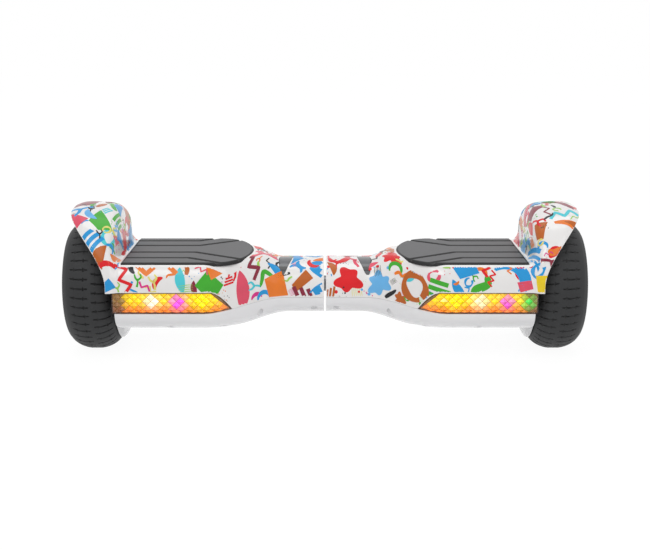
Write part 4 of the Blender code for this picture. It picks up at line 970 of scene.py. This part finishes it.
class Skin:
    """The shell's outer grid, with true lengths along and round it, so that ink keeps its drawn size."""

    def __init__(self, grid):
        self.grid = grid
        self.normal = unit_normals(grid)
        step = np.linalg.norm(np.diff(grid, axis=0), axis=-1)
        self.along = np.concatenate([np.zeros((1, grid.shape[1])), np.cumsum(step, axis=0)])
        step = np.linalg.norm(np.diff(grid, axis=1), axis=-1)
        self.across = np.concatenate([np.zeros((grid.shape[0], 1)), np.cumsum(step, axis=1)], axis=1)

    def rows_at(self, field, i):
        low_i = np.clip(np.floor(i).astype(int), 0, len(field) - 2)
        f = (i - low_i).reshape(-1, *([1] * (field.ndim - 1)))
        return field[low_i] * (1 - f) + field[low_i + 1] * f

    def place(self, centre, a, b):
        """Grid places of points that lie a along the board and b round it from a centre (row, column)."""
        i0, j0 = centre
        column = self.along[:, int(round(j0))]
        i = np.interp(column[int(i0)] + a, column, np.arange(len(column)))
        across = self.rows_at(self.across, i)
        index = np.arange(across.shape[1])
        start = across[:, int(round(j0))]
        j = np.array([np.interp(v, line, index) for v, line in zip(start + b, across)])
        free = (i > 0.02) & (i < len(column) - 1.02) & (j > 0.05) & (j < across.shape[1] - 1.05)
        return i, j, free

    def read(self, field, i, j):
        rows = self.rows_at(field, i)
        low_j = np.clip(np.floor(j).astype(int), 0, rows.shape[1] - 2)
        f = (j - low_j)[:, None]
        n = np.arange(len(j))
        return rows[n, low_j] * (1 - f) + rows[n, low_j + 1] * f


PAD_CLEAR = 2.8 * MM
HOLE_CLEAR = (3.7 * MM, 4.7 * MM)


def blocked(p, who):
    """Where no ink may lie: the pad's pocket, the light, the indicator, and the fittings at the back."""
    x, y, z = np.abs(p[:, 0]), p[:, 1], p[:, 2]
    hit = (np.abs(y) < pad_half_depth(x, PAD_CLEAR)) & (x > PAD_TIP_X - PAD_CLEAR)
    hit &= (x < PAD_OUTER_X + 2.4 * MM) & (z > SHOULDER_Z) & (z < DECK_Z + 2.5 * MM)
    hit |= (y < 0) & (z < SHOULDER_Z + 1 * MM) & (x > light_start(z) - 1.4 * MM)
    hit |= (x > END_X - 2 * MM) & (z < SHOULDER_Z + 1.2 * MM)
    tilt = np.arctan2(z - AXLE_Z, -y)
    reach = 9.6 * MM * (1 - 0.7 * np.clip((math.radians(74) - tilt) / math.radians(41), 0, 1))
    hit |= (np.abs(x - 50.5 * MM) < reach) & (tilt > math.radians(30)) & (tilt < math.radians(98))
    hit |= (x < 2.4 * MM) | (z < seam_z(x) + 1.2 * MM)
    if who == "right":
        for (_, place, hole), margin in zip(BACK_HOLES, HOLE_CLEAR):
            hit |= (y > 0) & (np.hypot(x - place, z - BACK_HOLE_Z) < hole + margin)
        hit |= (y > 0) & (np.abs(x - BACK_HOLES[1][1]) < 6 * MM) & (z > BACK_HOLE_Z) & (z < 95 * MM)
    return hit


def ribbon(centre_line, width, across=7):
    """Grid round a line of (a, b) points, as wide as given at each."""
    c = np.asarray(centre_line, dtype=float)
    run = np.gradient(c, axis=0)
    run /= np.linalg.norm(run, axis=1, keepdims=True) + 1e-9
    side = np.column_stack([-run[:, 1], run[:, 0]])
    s = np.linspace(-0.5, 0.5, across)
    return c[:, None] + side[:, None] * (np.asarray(width)[:, None] * s)[..., None]


def turned_about(grid, angle):
    c, s = math.cos(angle), math.sin(angle)
    return grid @ np.array([[c, s], [-s, c]])


def brush(rng, size):
    """A bent stroke that swells and ends dry."""
    bend = rng.normal(0, 0.35, 3)
    line = size * spline([(-0.5, bend[0] * 0.3), (-0.15, bend[1] * 0.5), (0.2, -bend[1] * 0.3),
                          (0.5, bend[2] * 0.5)], 26)
    t = np.linspace(0, 1, len(line))
    width = size * (0.17 + rng.random() * 0.16) * (0.55 + 0.45 * np.sin(math.pi * t ** 0.6))
    return [ribbon(line, width * (1 - 0.7 * ease(t, 0.86, 1.0)))]


def swoosh(rng, size):
    """An arc of brush, fat in the middle and drawn out at both ends."""
    sweep = math.radians(rng.uniform(100, 250))
    angle = np.linspace(-sweep / 2, sweep / 2, 34)
    t = np.linspace(0, 1, 34)
    line = np.column_stack([np.cos(angle), np.sin(angle)]) * size * 0.42
    return [ribbon(line, size * (0.07 + 0.22 * np.sin(math.pi * t) ** 0.8))]


def zigzag(rng, size):
    teeth = int(rng.integers(3, 6))
    corners = [((n / teeth - 0.5) * size, (0.16 if n % 2 else -0.16) * size) for n in range(teeth + 1)]
    runs = [np.linspace(corners[n], corners[n + 1], 9)[:-1] for n in range(teeth)]
    line = np.concatenate(runs + [[corners[-1]]])
    return [ribbon(line, np.full(len(line), size * rng.uniform(0.09, 0.14)))]


def hoop(rng, size):
    """A painted ring that nearly closes."""
    angle = np.linspace(0, math.radians(rng.uniform(300, 350)), 44)
    line = np.column_stack([np.cos(angle), 0.85 * np.sin(angle)]) * size * 0.36
    width = size * (0.17 + 0.05 * np.sin(3 * angle + rng.random() * 6))
    return [ribbon(line, width)]


def disc_grid(radius_of_angle, count=13):
    """A round blot as a square grid: x' = x sqrt(1 - y^2/2), y' = y sqrt(1 - x^2/2), then its own outline."""
    u, v = np.meshgrid(np.linspace(-1, 1, count), np.linspace(-1, 1, count), indexing="ij")
    x, y = u * np.sqrt(1 - v * v / 2), v * np.sqrt(1 - u * u / 2)
    scale = radius_of_angle(np.arctan2(y, x))
    return np.stack([x * scale, y * scale], axis=-1)


def spot(radius):
    return disc_grid(lambda a: radius + 0 * a, 7)


def splash(rng, size):
    """A blot with rounded fingers, and drops thrown off it."""
    phase, fingers = rng.random(3) * 6.3, int(rng.integers(5, 9))

    def outline(a):
        return size * (0.27 + 0.05 * np.cos(fingers * a + phase[0]) + 0.04 * np.cos(3 * a + phase[1]))
    grids = [disc_grid(outline, 21)]
    for _ in range(int(rng.integers(3, 7))):
        away = size * rng.uniform(0.34, 0.6)
        angle, radius = rng.random() * 6.3, size * rng.uniform(0.02, 0.05)
        grids.append(spot(radius) + np.array([math.cos(angle), math.sin(angle)]) * away)
    return grids


def wedge(rng, size):
    """A tall cone with a rounded foot."""
    t = np.linspace(0, 1, 30)
    line = np.column_stack([(t - 0.5) * size * 0.9, 0.06 * size * np.sin(3 * t)])
    return [ribbon(line, size * (0.05 + 0.42 * t ** 0.9) * (1 - 0.35 * ease(t, 0.93, 1)), 15)]


def patch(rng, size):
    """A filled patch with four uneven corners, each point a mean of them by its share of both sides."""
    corner = np.array([(-0.42, -0.28), (0.42, -0.28), (0.42, 0.28), (-0.42, 0.28)])
    corner = corner + rng.normal(0, 0.08, (4, 2))
    u, v = np.meshgrid(np.linspace(0, 1, 27), np.linspace(0, 1, 21), indexing="ij")
    share = np.stack([(1 - u) * (1 - v), u * (1 - v), u * v, (1 - u) * v], axis=-1)
    return [share @ corner * size]


def blade(rng, size):
    """A leaf of colour, pointed at both ends, on a bowed line."""
    t = np.linspace(0, 1, 38)
    line = np.column_stack([t - 0.5, rng.uniform(-0.2, 0.2) * np.sin(math.pi * t)]) * size
    return [ribbon(line, size * (0.01 + 0.36 * np.sin(math.pi * t) ** 0.8), 15)]


def bars(rng, size):
    """Three short bars side by side."""
    grids = []
    for n in range(3):
        line = np.column_stack([np.linspace(-0.4, 0.4 - 0.12 * n, 16) * size,
                                np.full(16, (n - 1) * 0.2 * size)])
        grids.append(ribbon(line, np.full(16, size * 0.13)))
    return grids


def fork(rng, size):
    """A stem that splits in two curved prongs."""
    stem = spline([(-0.5, 0), (-0.2, 0.03), (0.05, 0)], 14) * size
    up = spline([(0.0, 0), (0.2, 0.2), (0.32, 0.22), (0.5, 0.12)], 18) * size
    down = spline([(0.0, 0), (0.16, -0.18), (0.3, -0.24), (0.42, -0.3)], 18) * size
    wide = size * 0.16
    return [ribbon(line, np.linspace(wide, wide * 0.6, len(line))) for line in (stem, up, down)]


def hatch(rng, size):
    """Quick thin parallel lines."""
    grids = []
    for n in range(int(rng.integers(4, 7))):
        shift = (n - 2.5) * 0.13 * size
        line = np.column_stack([np.linspace(-0.45, 0.45, 14) * size,
                                shift + 0.02 * size * np.sin(np.linspace(0, 5, 14))])
        grids.append(ribbon(line, size * 0.045 * (1 - 0.6 * np.abs(np.linspace(-1, 1, 14)))))
    return grids


def specks(rng, size):
    grids = []
    for _ in range(int(rng.integers(5, 10))):
        grids.append(spot(size * rng.uniform(0.02, 0.055)) + rng.normal(0, 0.25, 2) * size)
    return grids


LARGE_MOTIFS = (patch, blade, swoosh, hoop, splash, wedge, brush, patch, zigzag, fork, blade, bars)
SMALL_MOTIFS = (brush, zigzag, hatch, specks, hoop, swoosh, specks, fork)
PATTERN_SEEDS = {"left": 4, "right": 9}
# Coats of ink: name, motifs, colours, size in mm, spacing as a share of size, motifs wanted
COATS = (("large", LARGE_MOTIFS, BOLD, (32, 58), 0.36, 80),
         ("middle", LARGE_MOTIFS, BOLD, (17, 30), 0.30, 190),
         ("fine", SMALL_MOTIFS, FINE, (10, 22), 0.25, 170))
MOST_TRIES = 2500
EVEN_CELL = 2.4 * MM * 2.2 * MM   # largest cell of the skin's grid, so that every place is as likely
LAYERS, FIRST_LIFT, LAYER_LIFT = 22, 0.05, 0.012      # count, height of the first and step, in mm


def print_pattern(skin, who, seed):
    """Throws motifs over the shell, large ones first, spaced by their size, each on the next of LAYERS
    stacked layers in turn.
    """
    rng = np.random.default_rng(seed)
    side = SIDES[who]
    layer = 0
    taken = []
    rows, cols = skin.grid.shape[:2]
    for coat, motifs, palette, sizes, spacing, wanted in COATS:
        points, under, faces, inks = [], [], [], []
        total = tries = made = 0
        while made < wanted and tries < MOST_TRIES:
            tries += 1
            i0, j0 = int(rng.uniform(1, rows - 2)), int(rng.uniform(2, cols - 3))
            size = rng.uniform(*sizes) * MM
            centre = skin.grid[i0, j0]
            cell = skin.along[min(i0 + 1, rows - 1), j0] - skin.along[i0, j0]
            cell *= skin.across[i0, j0 + 1] - skin.across[i0, j0]
            if rng.random() > cell / EVEN_CELL or blocked(centre[None], who)[0]:
                continue
            if any(np.linalg.norm(centre - c) < spacing * (size + s) for c, s in taken):
                continue
            taken.append((centre, size))
            made += 1
            layer = (layer + 1) % LAYERS
            lift = (FIRST_LIFT + LAYER_LIFT * layer) * MM
            angle = rng.choice((0, 90, 45, -45)) + rng.normal(0, 18)
            ink = np.array(linear(INKS[palette[int(rng.integers(len(palette)))]])[:3])
            for grid in motifs[int(rng.integers(len(motifs)))](rng, size):
                flat = turned_about(grid, math.radians(angle))
                m, n = flat.shape[:2]
                a, b = flat.reshape(-1, 2).T
                i, j, free = skin.place((i0, j0), a, b)
                base = skin.read(skin.grid, i, j)
                normal = skin.read(skin.normal, i, j)
                normal /= np.linalg.norm(normal, axis=1, keepdims=True)
                free &= ~blocked(base, who)
                quads = grid_faces(m, n)
                quads = quads[free[quads].all(axis=1)]
                if not len(quads):
                    continue
                outer = base + normal * lift
                a, b, c = (outer[quads[:, n]] for n in range(3))
                if np.sum(np.cross(b - a, c - a) * normal[quads[:, 0]]) < 0:
                    quads = quads[:, ::-1]
                used, index = np.unique(quads, return_inverse=True)
                faces.append(index.reshape(-1, 4) + total)
                points.append(outer[used])
                under.append((base - normal * 0.08 * MM)[used])
                inks.append(np.tile(ink, (len(used), 1)))
                total += len(used)
        outer, inner = np.concatenate(points), np.concatenate(under)
        quads = np.concatenate(faces)
        if side < 0:
            outer, inner = outer * MIRROR, inner * MIRROR
            quads = quads[:, ::-1]
        inked = film(f"shell_print_{coat}_{who}", outer, inner, quads, INK)
        paint(inked, "ink", np.tile(np.concatenate(inks), (2, 1)), "COLOR")
        settle({who: inked}, "{}_half", None)


# ---- stage, light and camera
FLOOR_SIZE = 12
FLOOR_WHITE_SHARE = 0.88        # the rest is matte, which keeps the board's shadow
FLOOR_WHITE = 1.07
WORLD_FILL = 0.54
# Lamp panels: place, width and height in metres, watts
PANELS = {"key": ((-0.9, -1.6, 1.9), (1.6, 1.0), 10), "fill": ((1.4, -1.4, 1.2), (1.4, 1.0), 4.6),
          "top": ((0, 0.3, 2.2), (2.2, 1.2), 10)}
PANEL_AIM = (0, 0, 0.1)


def seen_white(tree):
    """1 for a ray from the camera, a mirror or through glass, which see the backdrop white."""
    path = node(tree, "ShaderNodeLightPath").outputs
    seen = path["Is Camera Ray"]
    for kind in ("Is Glossy Ray", "Is Transmission Ray"):
        seen = node(tree, "ShaderNodeMath", {0: seen, 1: path[kind]}, operation="MAXIMUM").outputs[0]
    return seen


def stage():
    bpy.ops.mesh.primitive_plane_add(size=FLOOR_SIZE)
    floor = bpy.context.object
    floor.name = "floor"
    mat, tree, shader = new_material("pale_floor")
    part = node(tree, "ShaderNodeMath", {0: seen_white(tree), 1: FLOOR_WHITE_SHARE}, operation="MULTIPLY")
    matte = node(tree, "ShaderNodeBsdfDiffuse", Color=linear("f4f4f4"))
    white = node(tree, "ShaderNodeEmission", Color=(1, 1, 1, 1), Strength=FLOOR_WHITE)
    blend = blended(tree, part.outputs[0], matte, white)
    feed(tree.nodes["Material Output"], {"Surface": blend.outputs[0]})
    floor.data.materials.append(mat)

    world = bpy.data.worlds.new("studio")
    bpy.context.scene.world = world
    world.use_nodes = True
    tree = world.node_tree
    tree.nodes.clear()
    fill = node(tree, "ShaderNodeBackground", Color=(1, 1, 1, 1), Strength=WORLD_FILL)
    white = node(tree, "ShaderNodeBackground", Color=(1, 1, 1, 1), Strength=1.0)
    blend = blended(tree, seen_white(tree), fill, white)
    node(tree, "ShaderNodeOutputWorld", {"Surface": blend.outputs[0]})


def area_light(name, place, target, size, energy):
    lamp = bpy.data.lights.new(name, "AREA")
    lamp.shape = "RECTANGLE"
    lamp.size, lamp.size_y = size
    lamp.energy = energy
    obj = bpy.data.objects.new(name, lamp)
    bpy.context.scene.collection.objects.link(obj)
    obj.location = place
    aim(obj, target)


def aim(obj, target):
    direction = Vector(target) - Vector(obj.location)
    obj.rotation_euler = direction.to_track_quat("-Z", "Y").to_euler()


CAMERA_DISTANCE = 1.5
CAMERA_ELEVATION = math.radians(13)
CAMERA_TARGET = (0.0, 0.0, 0.094)
PIXELS_PER_METRE = 775          # at the target, in a frame 650 px wide
FRAME_WIDTH = 650


def camera():
    data = bpy.data.cameras.new("camera")
    data.sensor_width = 36
    data.lens = 36 * PIXELS_PER_METRE * CAMERA_DISTANCE / FRAME_WIDTH
    obj = bpy.data.objects.new("camera", data)
    bpy.context.scene.collection.objects.link(obj)
    obj.location = (CAMERA_TARGET[0], -CAMERA_DISTANCE * math.cos(CAMERA_ELEVATION),
                    CAMERA_TARGET[2] + CAMERA_DISTANCE * math.sin(CAMERA_ELEVATION))
    aim(obj, CAMERA_TARGET)
    bpy.context.scene.camera = obj


# ---- assembly
camera()
stage()
for panel, (place, size, watts) in PANELS.items():
    area_light(panel, place, PANEL_AIM, size, watts)
dress_cad()
SKIN_GRID = shell_surface(*SKIN_COUNTS)
top_shells()
bottom_shells()
foot_pads()
tyres()
hubs()
front_lights()
turn_lenses()
for who, seed in PATTERN_SEEDS.items():
    print_pattern(Skin(SKIN_GRID), who, seed)

bpy.context.scene.view_settings.view_transform = "Standard"
